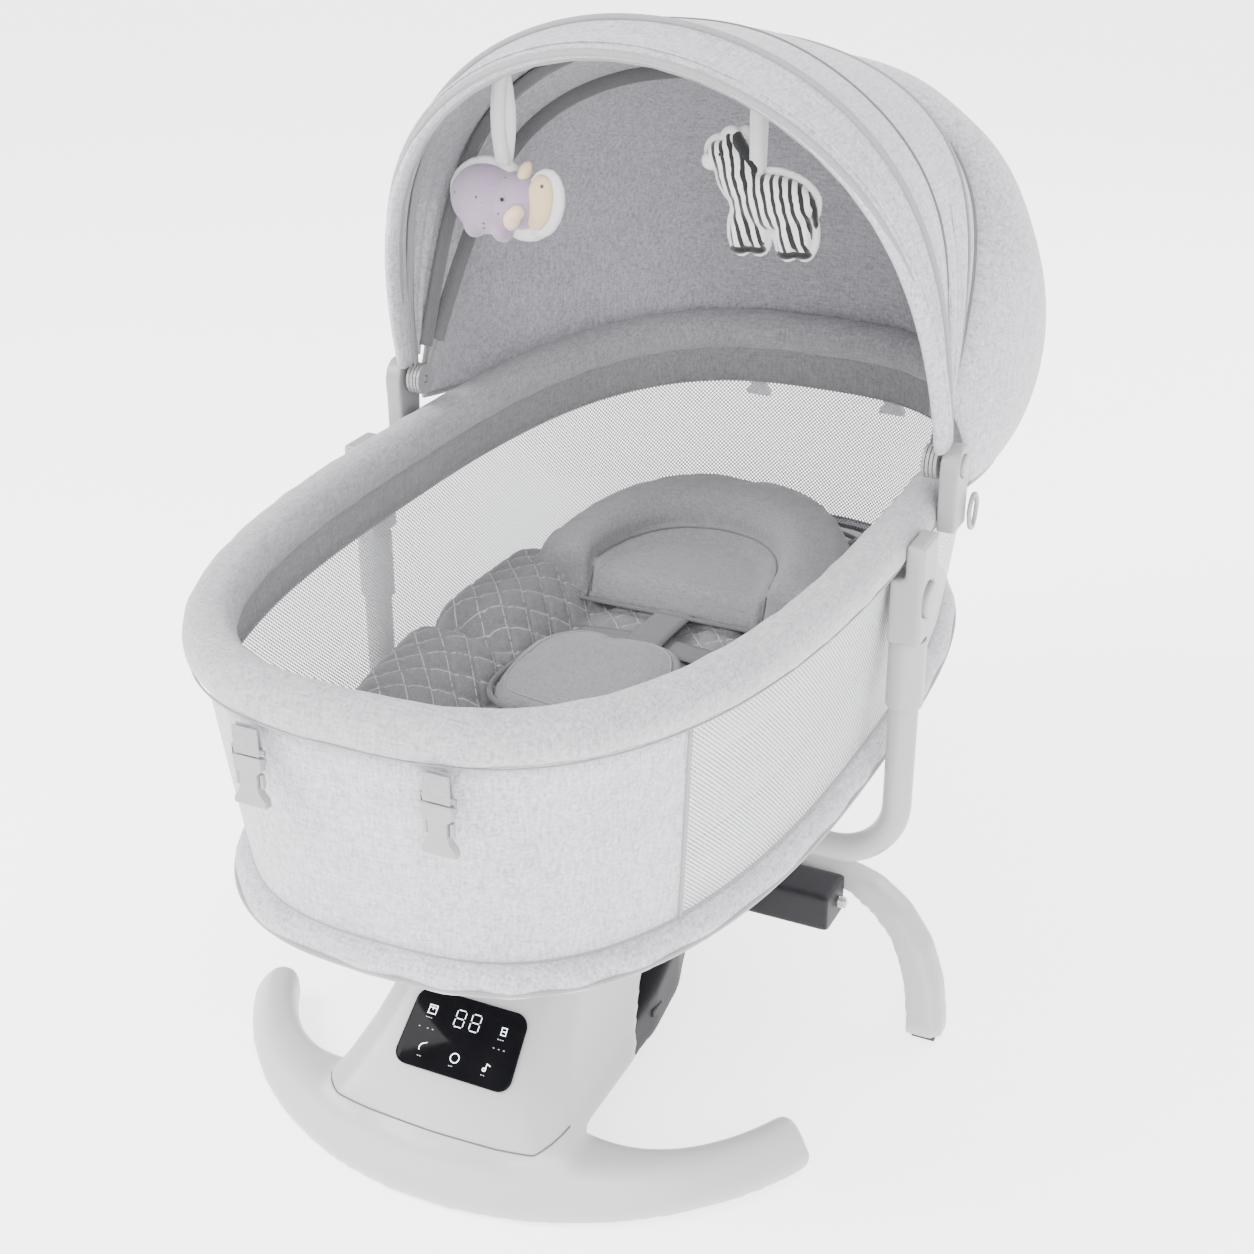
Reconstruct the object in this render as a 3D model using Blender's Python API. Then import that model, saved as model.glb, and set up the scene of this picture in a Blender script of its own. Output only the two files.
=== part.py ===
"""Electric baby swing: an oval bassinet with a folding canopy on a motorised swing base.

Metres, +Z up. The floor is z = 0, the foot end with the control panel faces -Y, the canopy is at
the head end, +Y, and X = 0 is the plane of symmetry.
"""

from math import asin, cos, pi, radians, sin

import bmesh
import bpy
from mathutils import Matrix, Vector

# ---- driving dimensions ----
GAP = 0.0003                # clearance kept between pieces that touch

RIM_LENGTH_HALF = 0.403     # rim tube's centre line, along Y
RIM_WIDTH_HALF = 0.205      # rim tube's centre line, along X
RIM_HEIGHT = 0.405
RIM_EXPONENT = 2.8          # 2 would be an ellipse; higher is squarer
RIM_TUBE_RADIUS = 0.008
RIM_FOAM_RADIUS = 0.017
FLOOR_RING_HEIGHT = 0.2216  # lower edge of the fabric wall
WALL_THICKNESS = 0.004

CARRIER_X = 0.2235          # centre line of the U-shaped carrier tube's uprights
CARRIER_RADIUS = 0.011
CARRIER_LOW = 0.145         # centre line of its cross stretch
CARRIER_TOP = 0.3505
CARRIER_BEND = 0.050
STEEL_WALL = 0.0012

HUB_Y = 0.045               # axis of the canopy bows
HUB_Z = 0.4446
BOW_RADIUS = 0.0035
BOW_EYE_RADIUS = 0.0125
BOW_EYE_THICKNESS = 0.0022
BOW_FLAT_LENGTH = 0.047     # the bow is beaten flat up to here, and round above twice this
BOW_ROD_START = 0.06        # turn angle of the rod's first point above the eye
PIN_RADIUS = 0.003

SWING_Y = -0.020            # axis of the swing shaft, and the carrier tube's plane
SHAFT_RADIUS = 0.006
HOUSING_TOP = 0.1115
GEAR_MODULE = 0.002
PINION_TEETH = 12
SECTOR_TEETH = 72           # teeth of the full circle that the sector is cut from
PINION_Y = SWING_Y - GEAR_MODULE * (PINION_TEETH + SECTOR_TEETH) / 2

FOOT_ARC_RADIUS = 0.262     # outer floor edge of the crescent front foot
FOOT_ARC_Y = -0.100
FOOT_ARC_HALF = radians(65)
PAD_HEIGHT = 0.003
FOOT_BOTTOM = PAD_HEIGHT + GAP
REAR_TIP_X = 0.261          # where the rear leg meets the floor
REAR_TIP_Y = -0.024

# Canopy bows: lean from horizontal at the foot end (degrees), reach, half-width, squareness.
BOWS = {
    "canopy_bow_front": (73.0, 0.2955, 0.2195, 2.08),
    "canopy_bow_second": (82.0, 0.2935, 0.2165, 2.15),
    "canopy_bow_third": (112.0, 0.2850, 0.2135, 2.60),
    "canopy_bow_rear": (126.0, 0.2830, 0.2105, 2.90),
}
BOW_FLARE = {
    "canopy_bow_front": 0.010,
    "canopy_bow_second": 0.014,
    "canopy_bow_third": 0.016,
    "canopy_bow_rear": 0.010,
}

# ---- finishes: colour, roughness, metallic ----
FINISHES = {
    "white_plastic": ((0.80, 0.80, 0.79), 0.42, 0.0),
    "grey_plastic": ((0.60, 0.60, 0.61), 0.45, 0.0),
    "black_plastic": ((0.02, 0.02, 0.022), 0.55, 0.0),
    "black_glass": ((0.004, 0.004, 0.005), 0.08, 0.0),
    "circuit_board": ((0.03, 0.16, 0.08), 0.5, 0.0),
    "steel": ((0.62, 0.62, 0.63), 0.3, 1.0),
    "painted_tube": ((0.66, 0.66, 0.64), 0.35, 0.0),
    "bronze": ((0.55, 0.36, 0.16), 0.35, 1.0),
    "dark_rubber": ((0.05, 0.05, 0.05), 0.8, 0.0),
    "light_fabric": ((0.68, 0.67, 0.70), 0.9, 0.0),
    "rim_fabric": ((0.50, 0.50, 0.52), 0.9, 0.0),
    "pad_fabric": ((0.42, 0.42, 0.43), 0.9, 0.0),
    "board": ((0.45, 0.36, 0.25), 0.8, 0.0),
    "lilac_plush": ((0.48, 0.41, 0.52), 0.95, 0.0),
    "white_plush": ((0.86, 0.86, 0.85), 0.95, 0.0),
}


# ---- building blocks ----
def clear_scene():
    for item in list(bpy.data.objects):
        bpy.data.objects.remove(item, do_unlink=True)


def material(name):
    found = bpy.data.materials.get(name)
    if found:
        return found
    colour, roughness, metallic = FINISHES[name]
    made = bpy.data.materials.new(name)
    made.use_nodes = True
    shader = made.node_tree.nodes["Principled BSDF"]
    shader.inputs["Base Color"].default_value = (*colour, 1.0)
    shader.inputs["Roughness"].default_value = roughness
    shader.inputs["Metallic"].default_value = metallic
    return made


def solid(name, finish, shapes, pivot=(0, 0, 0), smooth=False):
    """One object from closed shapes, each (points, faces) in world metres, with its origin at pivot."""
    points = []
    faces = []
    for shape_points, shape_faces in shapes:
        start = len(points)
        points += [Vector(p) - Vector(pivot) for p in shape_points]
        faces += [tuple(start + i for i in face) for face in shape_faces]
    mesh = bpy.data.meshes.new(name)
    mesh.from_pydata(points, [], faces)
    work = bmesh.new()
    work.from_mesh(mesh)
    bmesh.ops.remove_doubles(work, verts=work.verts, dist=0.00002)
    bmesh.ops.recalc_face_normals(work, faces=work.faces)
    work.to_mesh(mesh)
    work.free()
    if smooth:
        mesh.shade_smooth()
        mesh.set_sharp_from_angle(angle=radians(35))
    mesh.materials.append(material(finish))
    made = bpy.data.objects.new(name, mesh)
    made.location = pivot
    bpy.context.scene.collection.objects.link(made)
    return made


def boolean(target, name, shapes, operation="DIFFERENCE"):
    """Cut shapes from the target, or join them to it."""
    tool = solid(name, "steel", shapes)
    tool.hide_render = True
    tool.display_type = "WIRE"
    modifier = target.modifiers.new(name, "BOOLEAN")
    modifier.operation = operation
    modifier.solver = "EXACT"
    modifier.object = tool


def prism(outline, low, high, axis="Z"):
    """A closed outline of (a, b) pairs, extruded along an axis from low to high."""
    place = {
        "X": lambda a, b, c: (c, a, b),
        "Y": lambda a, b, c: (a, c, b),
        "Z": lambda a, b, c: (a, b, c),
    }[axis]
    rings = [[place(a, b, level) for a, b in outline] for level in (low, high)]
    return loft(rings)


def box(low, high):
    outline = [(low[0], low[1]), (high[0], low[1]), (high[0], high[1]), (low[0], high[1])]
    return prism(outline, low[2], high[2])


def loft(rings, joined_ends=False):
    """Skin over rings of equally many points. The ends are capped, or joined to each other."""
    sides = len(rings[0])
    points = [p for ring in rings for p in ring]
    faces = []
    steps = len(rings) if joined_ends else len(rings) - 1
    for r in range(steps):
        after = (r + 1) % len(rings)
        for s in range(sides):
            t = (s + 1) % sides
            faces.append((r * sides + s, r * sides + t, after * sides + t, after * sides + s))
    if not joined_ends:
        faces.append(tuple(reversed(range(sides))))
        faces.append(tuple((len(rings) - 1) * sides + s for s in range(sides)))
    return points, faces


def circle(radius, sides, centre=(0.0, 0.0)):
    turns = [2 * pi * (s + 0.5) / sides for s in range(sides)]
    return [(centre[0] + radius * cos(a), centre[1] + radius * sin(a)) for a in turns]


def rod(radius, low, high, centre, axis="Z", sides=16):
    """A round bar along an axis; centre gives its place in the other two axes."""
    return prism(circle(radius, sides, centre), low, high, axis)


def turned(profile, centre, axis="Z", sides=24):
    """A closed profile of (radius, height) pairs turned about an axis: a ring, or a disc if it has r = 0."""
    place = {
        "X": lambda r, a, h: (h, centre[0] + r * cos(a), centre[1] + r * sin(a)),
        "Z": lambda r, a, h: (centre[0] + r * cos(a), centre[1] + r * sin(a), h),
    }[axis]
    rings = [[place(r, 2 * pi * s / sides, h) for r, h in profile] for s in range(sides)]
    return loft(rings, joined_ends=True)


def turned_disc(profile, centre, axis="Z", sides=24, side=1):
    """A profile from the axis out and back to the axis, as stacked rings; side -1 flips an X axis."""
    rings = []
    for r, h in profile[1:-1]:
        if axis == "Z":
            rings.append([(a, b, h) for a, b in circle(r, sides, centre)])
        else:
            rings.append([(side * h, a, b) for a, b in circle(r, sides, centre)])
    return loft(rings)


def frames_along(path, closed=False):
    """A point and two cross directions for each point of a path, without twist."""
    count = len(path)
    result = []
    across = None
    for i, point in enumerate(path):
        before = path[i - 1] if closed or i > 0 else path[i]
        after = path[(i + 1) % count] if closed or i < count - 1 else path[i]
        along = (Vector(after) - Vector(before)).normalized()
        if across is None:
            guide = Vector((0, 0, 1)) if abs(along.z) < 0.9 else Vector((1, 0, 0))
            across = guide - along * guide.dot(along)
        else:
            across = across - along * across.dot(along)
        across.normalize()
        result.append((Vector(point), across.copy(), along.cross(across)))
    return result


def pipe(path, radius, sides=10, bore=None, closed=False):
    """A round bar along a path, or a tube with open ends when bore gives its inner radius."""
    rings = []
    inner = []
    for point, up, side in frames_along(path, closed):
        spokes = [up * cos(a) + side * sin(a) for a in (2 * pi * s / sides for s in range(sides))]
        rings.append([point + spoke * radius for spoke in spokes])
        if bore:
            inner.append([point + spoke * bore for spoke in spokes])
    if not bore:
        return loft(rings, joined_ends=closed)
    return loft(rings + inner[::-1], joined_ends=True)


def mirrored(shape):
    points, faces = shape
    return [(-x, y, z) for x, y, z in points], faces


def superellipse(turn, width_half, length_half, exponent=RIM_EXPONENT):
    c, s = cos(turn), sin(turn)
    x = width_half * abs(c) ** (2 / exponent) * (1 if c >= 0 else -1)
    y = length_half * abs(s) ** (2 / exponent) * (1 if s >= 0 else -1)
    return x, y


def oval(width_half, length_half, height, sides=40, start=0.0, stop=2 * pi, include_end=False):
    """Points around the rim's outline at some height, from one turn angle to another."""
    count = sides - 1 if include_end else sides
    turns = [start + (stop - start) * i / count for i in range(sides)]
    return [(*superellipse(t, width_half, length_half), height) for t in turns]


def oval_layers(layers, sides=40):
    """A closed solid of stacked ovals, each (half-width, half-length, height)."""
    return loft([oval(*layer, sides=sides) for layer in layers])


def oval_band(layers, sides=40):
    """A closed band around the oval; layers run once around its section."""
    rings = [[oval(w, l, h, sides=sides)[i] for w, l, h in layers] for i in range(sides)]
    return loft(rings, joined_ends=True)


def side_name(side):
    return "right" if side > 0 else "left"


# ---- swing base ----
def foot_section(turn):
    """Cross-section of the crescent foot at an angle from its middle: (radius, height) pairs."""
    middle = max(0.0, 1 - abs(turn) / radians(34))
    swell = middle * middle * (3 - 2 * middle)
    width = 0.036 + 0.040 * swell
    height = 0.034 + 0.011 * swell
    outer = FOOT_ARC_RADIUS
    return [
        (outer, FOOT_BOTTOM),
        (outer - 0.001, FOOT_BOTTOM + 0.012),
        (outer - 0.008, height - 0.005),
        (outer - 0.017, height),
        (outer - width + 0.012, height),
        (outer - width + 0.003, height - 0.006),
        (outer - width, FOOT_BOTTOM),
    ]


def front_foot():
    stations = 33
    rings = []
    for i in range(stations):
        turn = FOOT_ARC_HALF * (2 * i / (stations - 1) - 1)
        ring = [(r * sin(turn), FOOT_ARC_Y - r * cos(turn), h) for r, h in foot_section(turn)]
        rings.append(ring)
    solid("front_foot", "white_plastic", [loft(rings)], smooth=True)


def tower_half_width(height):
    """Half-width of the tower: it narrows upwards in a hollow curve."""
    rise = (height - 0.0455) / 0.140
    return 0.065 + 0.034 * (1 - rise) ** 3


# Levels of the tower: (height, rear edge). The rear edge follows the top of the housing.
TOWER_LEVELS = [
    (0.0455, -0.2055), (0.0615, -0.1830), (0.0850, -0.1505), (0.1117, -0.1130),
    (0.1121, -0.0645), (0.1500, -0.0625), (0.1860, -0.0620),
]


def tower_shape(inset=0.0, drop=0.0):
    """The leaning tower as stacked sections. The hollow is smaller by inset, and drops through below."""
    rings = []
    top = TOWER_LEVELS[-1][0]
    for height, back in TOWER_LEVELS:
        rise = (height - TOWER_LEVELS[0][0]) / (top - TOWER_LEVELS[0][0])
        level = height - (inset if height == top else drop)
        front = -0.340 + 0.155 * rise + inset
        half = tower_half_width(height) - inset
        corner = 0.016
        ring = [
            (-half, back - inset, level),
            (-half, front + corner, level),
            (-half + corner, front, level),
            (half - corner, front, level),
            (half, front + corner, level),
            (half, back - inset, level),
        ]
        rings.append(ring)
    return loft(rings)


def tower_cover():
    """Cover shell over the drive, open underneath."""
    cover = solid("tower_cover", "white_plastic", [tower_shape()])
    boolean(cover, "tower_hollow", [tower_shape(inset=0.0032, drop=0.0008)])


PANEL_CENTRE = Vector((0.0, -0.2895, 0.0920))
PANEL_SLOPE = Matrix.Rotation(radians(42.2), 3, "X")


def on_panel(x, along, above):
    """A point on the sloping front of the tower: across, up the slope, and above the surface."""
    return tuple(PANEL_CENTRE + PANEL_SLOPE @ Vector((x, along, above)))


def rounded_rectangle(width, height, radius, steps=3):
    points = []
    corners = [(1, 1, 0), (-1, 1, 1), (-1, -1, 2), (1, -1, 3)]
    for sx, sy, quarter in corners:
        for i in range(steps + 1):
            a = pi / 2 * (quarter + i / steps)
            x = sx * (width / 2 - radius) + radius * cos(a)
            y = sy * (height / 2 - radius) + radius * sin(a)
            points.append((x, y))
    return points


def panel_outline():
    """Rounded trapezoid, a little wider at its lower edge."""
    outline = rounded_rectangle(0.090, 0.056, 0.009)
    return [(x * (1 - 1.2 * y), y) for x, y in outline]


def control_panel():
    outline = panel_outline()
    face = loft([[on_panel(x, y, h) for x, y in outline] for h in (0.0005, 0.0021)])
    solid("control_panel", "black_glass", [face])
    board = [(-0.036, -0.020), (0.036, -0.020), (0.036, 0.020), (-0.036, 0.020)]
    board_solid = loft([[on_panel(x, y, h) for x, y in board] for h in (-0.0076, -0.0060)])
    solid("control_board", "circuit_board", [board_solid])


# Spine of the housing from the front to the rear: (y, underside, top).
HOUSING_STATIONS = [
    (-0.2835, 0.0100, 0.0448), (-0.2050, 0.0120, 0.0448), (-0.1500, 0.0480, 0.0845),
    (-0.1120, 0.0630, HOUSING_TOP), (-0.0500, 0.0700, HOUSING_TOP), (0.0040, 0.0740, HOUSING_TOP),
]


def lower_housing():
    """Black underbody: spine under the tower, widening into a cross beam for the rear leg."""
    rings = []
    for y, low, high in HOUSING_STATIONS:
        flare = max(0.0, (y + 0.150) / 0.154)
        half = 0.0615 + 0.040 * flare * flare
        rings.append([(-half, y, low), (half, y, low), (half, y, high), (-half, y, high)])
    housing = solid("lower_housing", "black_plastic", [loft(rings)])
    beam = [(-0.040, 0.080), (-0.034, 0.076), (0.002, 0.076), (0.002, 0.1090), (-0.040, 0.1090)]
    boolean(housing, "cross_beam", [prism(beam, -0.180, 0.180, "X")], "UNION")
    gear_well = box((-0.034, PINION_Y - 0.018, 0.090), (0.034, -0.004, 0.130))
    nose_well = box((-0.056, -0.279, 0.014), (0.056, -0.215, 0.060))
    bearing_seat = rod(0.0113, 0.0797, 0.095, (0, SWING_Y))
    shaft_clearance = rod(0.0075, 0.0755, 0.085, (0, SWING_Y))
    boolean(housing, "gear_well", [gear_well])
    boolean(housing, "nose_well", [nose_well])
    boolean(housing, "bearing_seat", [bearing_seat])
    boolean(housing, "shaft_clearance", [shaft_clearance])
    for side in (-1, 1):
        button_hole = rod(0.0034, 0.164, 0.190, (-0.014, 0.092), "X", 12)
        hole = button_hole if side > 0 else mirrored(button_hole)
        boolean(housing, "button_hole_" + side_name(side), [hole])


def gearbox_lid():
    """Flat lid over the gears; it holds the upper bearing and clears the motor."""
    low, high = HOUSING_TOP + GAP, HOUSING_TOP + 0.0043
    lid = solid("gearbox_lid", "black_plastic", [box((-0.045, -0.0590, low), (0.045, 0.002, high))])
    boolean(lid, "lid_bore", [rod(0.0113, low - 0.01, high + 0.01, (0, SWING_Y))])


def bearings():
    spans = {
        "shaft_bearing_lower": (0.0800, 0.0870),
        "shaft_bearing_upper": (HOUSING_TOP + 0.0005, HOUSING_TOP + 0.0042),
    }
    for name, (low, high) in spans.items():
        profile = [(0.0063, low), (0.0110, low), (0.0110, high), (0.0063, high)]
        solid(name, "steel", [turned(profile, (0, SWING_Y), sides=20)], smooth=True)


def drive_motor():
    """Geared motor, standing over the pinion with its shaft hole underneath."""
    low = HOUSING_TOP + GAP
    can = [(0.0, low), (0.0150, low), (0.0160, low + 0.002), (0.0160, low + 0.036)]
    can += [(0.0120, low + 0.040), (0.0, low + 0.040)]
    motor = solid("drive_motor", "steel", [turned_disc(can, (0, PINION_Y), sides=20)], smooth=True)
    boolean(motor, "motor_bore", [rod(0.0029, low - 0.004, low + 0.014, (0, PINION_Y), sides=12)])


def gear_teeth(count, first, last, centre, offset):
    """Outline points of teeth numbered first to last, with tooth 0 centred on the offset angle."""
    pitch_radius = GEAR_MODULE * count / 2
    pitch = 2 * pi / count
    root, tip = pitch_radius - 1.25 * GEAR_MODULE, pitch_radius + 0.85 * GEAR_MODULE
    points = []
    for number in range(first, last + 1):
        middle = offset + number * pitch
        for share, radius in ((-0.27, root), (-0.10, tip), (0.10, tip), (0.27, root)):
            a = middle + share * pitch
            points.append((centre[0] + radius * cos(a), centre[1] + radius * sin(a)))
    return points


def pinion():
    low, high = 0.0925, 0.1025
    centre = (0, PINION_Y)
    outline = gear_teeth(PINION_TEETH, 0, PINION_TEETH - 1, centre, pi / 2 + pi / PINION_TEETH)
    gear = solid("drive_pinion", "bronze", [prism(outline, low, high)], pivot=(0, PINION_Y, low))
    stub = rod(0.0025, high - 0.002, HOUSING_TOP + 0.012, centre, sides=12)
    boolean(gear, "pinion_stub", [stub], "UNION")


def sector_gear():
    low, high = 0.0945, 0.1005
    centre = (0, SWING_Y)
    teeth = gear_teeth(SECTOR_TEETH, -3, 3, centre, -pi / 2)
    hub = []
    for i in range(13):
        a = -pi / 2 + radians(50) + radians(260) * i / 12
        hub.append((0.014 * cos(a), SWING_Y + 0.014 * sin(a)))
    gear = solid("sector_gear", "bronze", [prism(teeth + hub, low, high)], pivot=(0, SWING_Y, low))
    boolean(gear, "sector_bore", [rod(SHAFT_RADIUS + GAP, 0.08, 0.12, centre)])


def rear_leg():
    """Arched rear leg: behind the cross beam in the middle, curving down to both tips."""
    route = [
        (0.000, 0.0260, 0.0980), (0.090, 0.0250, 0.0980), (0.160, 0.0230, 0.0975),
        (0.190, 0.0190, 0.0940), (0.216, 0.0120, 0.0830), (0.238, 0.0020, 0.0640),
        (0.252, -0.0090, 0.0400), (0.259, -0.0190, 0.0150), (REAR_TIP_X, REAR_TIP_Y, FOOT_BOTTOM),
    ]
    path = [(-x, y, z) for x, y, z in route[:0:-1]] + route
    width, depth = 0.0145, 0.0150
    rings = []
    for x, y, z in path:
        lean = max(-1.0, min(1.0, x / 0.235))
        outward = Vector((sin(lean * pi / 2), 0, cos(lean * pi / 2)))
        back = Vector((0, 1, 0))
        ring = []
        for share_out, share_back in ((1, -0.55), (1, 0.55), (0.55, 1), (-1, 1), (-1, -1), (0.55, -1)):
            point = Vector((x, y, z)) + outward * width * share_out + back * depth * share_back
            ring.append(point)
        rings.append(ring)
    for ring in (rings[0], rings[-1]):
        for point in ring:
            point.z = FOOT_BOTTOM
    solid("rear_leg", "white_plastic", [loft(rings)], smooth=True)


def leg_buttons():
    for side in (-1, 1):
        shape = rod(0.0030, 0.1715, 0.1870, (-0.014, 0.092), "X", 12)
        shape = shape if side > 0 else mirrored(shape)
        pivot = (side * 0.187, -0.014, 0.092)
        solid("leg_button_" + side_name(side), "steel", [shape], pivot=pivot, smooth=True)


def foot_pads():
    """A rubber strip along the crescent foot, and a pad under each tip of the rear leg."""
    outer, inner, steps = FOOT_ARC_RADIUS - 0.010, FOOT_ARC_RADIUS - 0.024, 24
    turns = [radians(60) * (2 * i / steps - 1) for i in range(steps + 1)]
    outline = [(outer * sin(a), FOOT_ARC_Y - outer * cos(a)) for a in turns]
    outline += [(inner * sin(a), FOOT_ARC_Y - inner * cos(a)) for a in reversed(turns)]
    solid("foot_pad_front", "dark_rubber", [prism(outline, 0.0, PAD_HEIGHT)])
    for side in (-1, 1):
        x = side * REAR_TIP_X
        pad = box((x - 0.009, REAR_TIP_Y - 0.010, 0.0), (x + 0.009, REAR_TIP_Y + 0.010, PAD_HEIGHT))
        solid("foot_pad_" + side_name(side), "dark_rubber", [pad])


def base_fittings():
    speaker = [(0.0, 0.0152), (0.017, 0.0152), (0.017, 0.0220), (0.010, 0.0300), (0.0, 0.0300)]
    solid("speaker", "dark_rubber", [turned_disc(speaker, (-0.020, -0.247), sides=16)], smooth=True)
    inlet = solid("power_inlet", "black_plastic", [box((0.020, -0.262, 0.0150), (0.036, -0.240, 0.0290))])
    boolean(inlet, "inlet_hole", [rod(0.0030, 0.010, 0.026, (0.028, -0.251), sides=12)])


# ---- swing carrier ----
def swing_drive():
    shaft = rod(SHAFT_RADIUS, 0.0760, 0.1295, (0, SWING_Y))
    solid("swing_shaft", "steel", [shaft], pivot=(0, SWING_Y, 0.0760), smooth=True)
    low = HOUSING_TOP + 0.0060
    collar = [(0.0, low), (0.030, low), (0.030, low + 0.007), (0.018, low + 0.012), (0.0, low + 0.012)]
    head = solid("swing_head", "black_plastic", [turned_disc(collar, (0, SWING_Y))])
    cradle = box((-0.032, SWING_Y - 0.018, low + 0.006), (0.032, SWING_Y + 0.018, CARRIER_LOW - 0.0002))
    groove = rod(CARRIER_RADIUS + GAP, -0.08, 0.08, (SWING_Y, CARRIER_LOW), "X", 20)
    boolean(head, "cradle", [cradle], "UNION")
    boolean(head, "head_groove", [groove])
    boolean(head, "shaft_socket", [rod(SHAFT_RADIUS + GAP, low - 0.004, 0.1299, (0, SWING_Y))])
    cap_high = CARRIER_LOW + 0.017
    cap = solid("saddle_cap", "black_plastic",
                [box((-0.032, SWING_Y - 0.018, CARRIER_LOW + 0.0002), (0.032, SWING_Y + 0.018, cap_high))])
    boolean(cap, "cap_groove", [groove])


def carrier_tube():
    """U-shaped tube: down one side, across under the basket and up the other side."""
    path = [(CARRIER_X, SWING_Y, CARRIER_TOP), (CARRIER_X, SWING_Y, CARRIER_LOW + CARRIER_BEND + 0.002)]
    for i in range(7):
        a = pi / 2 * i / 6
        x = CARRIER_X - CARRIER_BEND + CARRIER_BEND * cos(a)
        z = CARRIER_LOW + CARRIER_BEND - CARRIER_BEND * sin(a)
        path.append((x, SWING_Y, z))
    path += [(-x, y, z) for x, y, z in reversed(path)]
    tube = pipe(path, CARRIER_RADIUS, 14, CARRIER_RADIUS - STEEL_WALL)
    solid("carrier_tube", "painted_tube", [tube], smooth=True)
    for side in (-1, 1):
        profile = [(0.0113, 0.280), (0.0137, 0.281), (0.0137, 0.3345), (0.0113, 0.3345)]
        ring = turned(profile, (side * CARRIER_X, SWING_Y), sides=16)
        solid("tube_sleeve_" + side_name(side), "painted_tube", [ring], smooth=True)


FITTING_BUTTON_Z = 0.3665


def hinge_fittings():
    """Plastic fitting at each side: takes the upright from below and holds the rim beside it."""
    outline = [(0.2125, 0.335), (0.2365, 0.335), (0.2365, 0.4120), (0.2228, 0.4120),
               (0.2228, 0.3860), (0.2125, 0.3845)]
    button = [(0.0, 0.2345), (0.0130, 0.2345), (0.0130, 0.2388), (0.0115, 0.2400), (0.0, 0.2400)]
    for side in (-1, 1):
        name = side_name(side)
        placed = [(side * x, z) for x, z in outline]
        body = prism(placed, SWING_Y - 0.018, SWING_Y + 0.018, "Y")
        fitting = solid("rim_fitting_" + name, "grey_plastic", [body])
        boolean(fitting, "tube_socket_" + name,
                [rod(CARRIER_RADIUS + GAP, 0.325, 0.3510, (side * CARRIER_X, SWING_Y))])
        recess = rod(0.0134, 0.2315, 0.2400, (SWING_Y, FITTING_BUTTON_Z), "X", 20)
        recess = recess if side > 0 else mirrored(recess)
        boolean(fitting, "button_recess_" + name, [recess])
        disc = turned_disc(button, (SWING_Y, FITTING_BUTTON_Z), "X", 20, side)
        pivot = (side * 0.240, SWING_Y, FITTING_BUTTON_Z)
        solid("release_button_" + name, "grey_plastic", [disc], pivot=pivot)


# ---- basket ----
def rim():
    """Two half loops of steel tube, each in a foam sleeve; they meet beside the fittings."""
    start = -asin(0.010) + 0.0040
    spans = {
        "head": (start, pi - start),
        "foot": (2 * pi - asin(0.010) - 0.0040, pi + asin(0.010) + 0.0040),
    }
    for name, (first, last) in spans.items():
        path = oval(RIM_WIDTH_HALF, RIM_LENGTH_HALF, RIM_HEIGHT, 25, first, last, include_end=True)
        tube = pipe(path, RIM_TUBE_RADIUS, 8, RIM_TUBE_RADIUS - STEEL_WALL)
        solid("rim_tube_" + name, "steel", [tube], smooth=True)
        foam = pipe(path, RIM_FOAM_RADIUS, 10, RIM_TUBE_RADIUS + 0.0008)
        solid("rim_foam_" + name, "rim_fabric", [foam], smooth=True)


def basket():
    top = RIM_HEIGHT - RIM_FOAM_RADIUS - 0.001
    wall = [
        (RIM_WIDTH_HALF + 0.006, RIM_LENGTH_HALF + 0.006, top),
        (0.1985, 0.3940, 0.300),
        (0.1925, 0.3860, FLOOR_RING_HEIGHT),
        (0.1925 - WALL_THICKNESS, 0.3860 - WALL_THICKNESS, FLOOR_RING_HEIGHT),
        (0.1985 - WALL_THICKNESS, 0.3940 - WALL_THICKNESS, 0.300),
        (RIM_WIDTH_HALF + 0.002, RIM_LENGTH_HALF + 0.002, top),
    ]
    solid("basket_wall", "light_fabric", [oval_band(wall, 48)], smooth=True)
    tray = [
        (0.178, 0.369, 0.2040), (0.198, 0.391, 0.2110), (0.203, 0.397, 0.2160),
        (0.200, 0.394, 0.2212), (0.185, 0.378, 0.2212), (0.1815, 0.3745, 0.2085),
    ]
    solid("bottom_cover", "light_fabric", [oval_layers(tray)], smooth=True)
    solid("base_board", "board", [oval_layers([(0.1775, 0.3705, 0.2088), (0.1785, 0.3715, 0.2138)])])
    mattress = [(0.172, 0.364, 0.2141), (0.180, 0.373, 0.2220), (0.180, 0.373, 0.2330), (0.173, 0.366, 0.2391)]
    solid("mattress", "light_fabric", [oval_layers(mattress, 32)])


def soft_oval(centre, layers, sides=24, exponent=2.6):
    rings = []
    for width_half, length_half, height in layers:
        ring = []
        for i in range(sides):
            x, y = superellipse(2 * pi * i / sides, width_half, length_half, exponent)
            ring.append((centre[0] + x, centre[1] + y, height))
        rings.append(ring)
    return loft(rings)


def pads():
    seat = [(0.135, 0.315, 0.2394), (0.150, 0.330, 0.2470), (0.150, 0.330, 0.2560), (0.132, 0.312, 0.2640)]
    solid("seat_pad", "pad_fabric", [soft_oval((0, -0.010), seat)])
    pillow = [(0.120, 0.085, 0.2643), (0.133, 0.098, 0.2760), (0.130, 0.095, 0.2960), (0.108, 0.073, 0.3080)]
    solid("head_pillow", "pad_fabric", [soft_oval((0, 0.150), pillow)])
    crotch = [(0.060, 0.056, 0.2643), (0.067, 0.063, 0.2700), (0.064, 0.060, 0.2800), (0.052, 0.048, 0.2860)]
    solid("crotch_pad", "pad_fabric", [soft_oval((0, -0.075), crotch, 20)])


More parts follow.
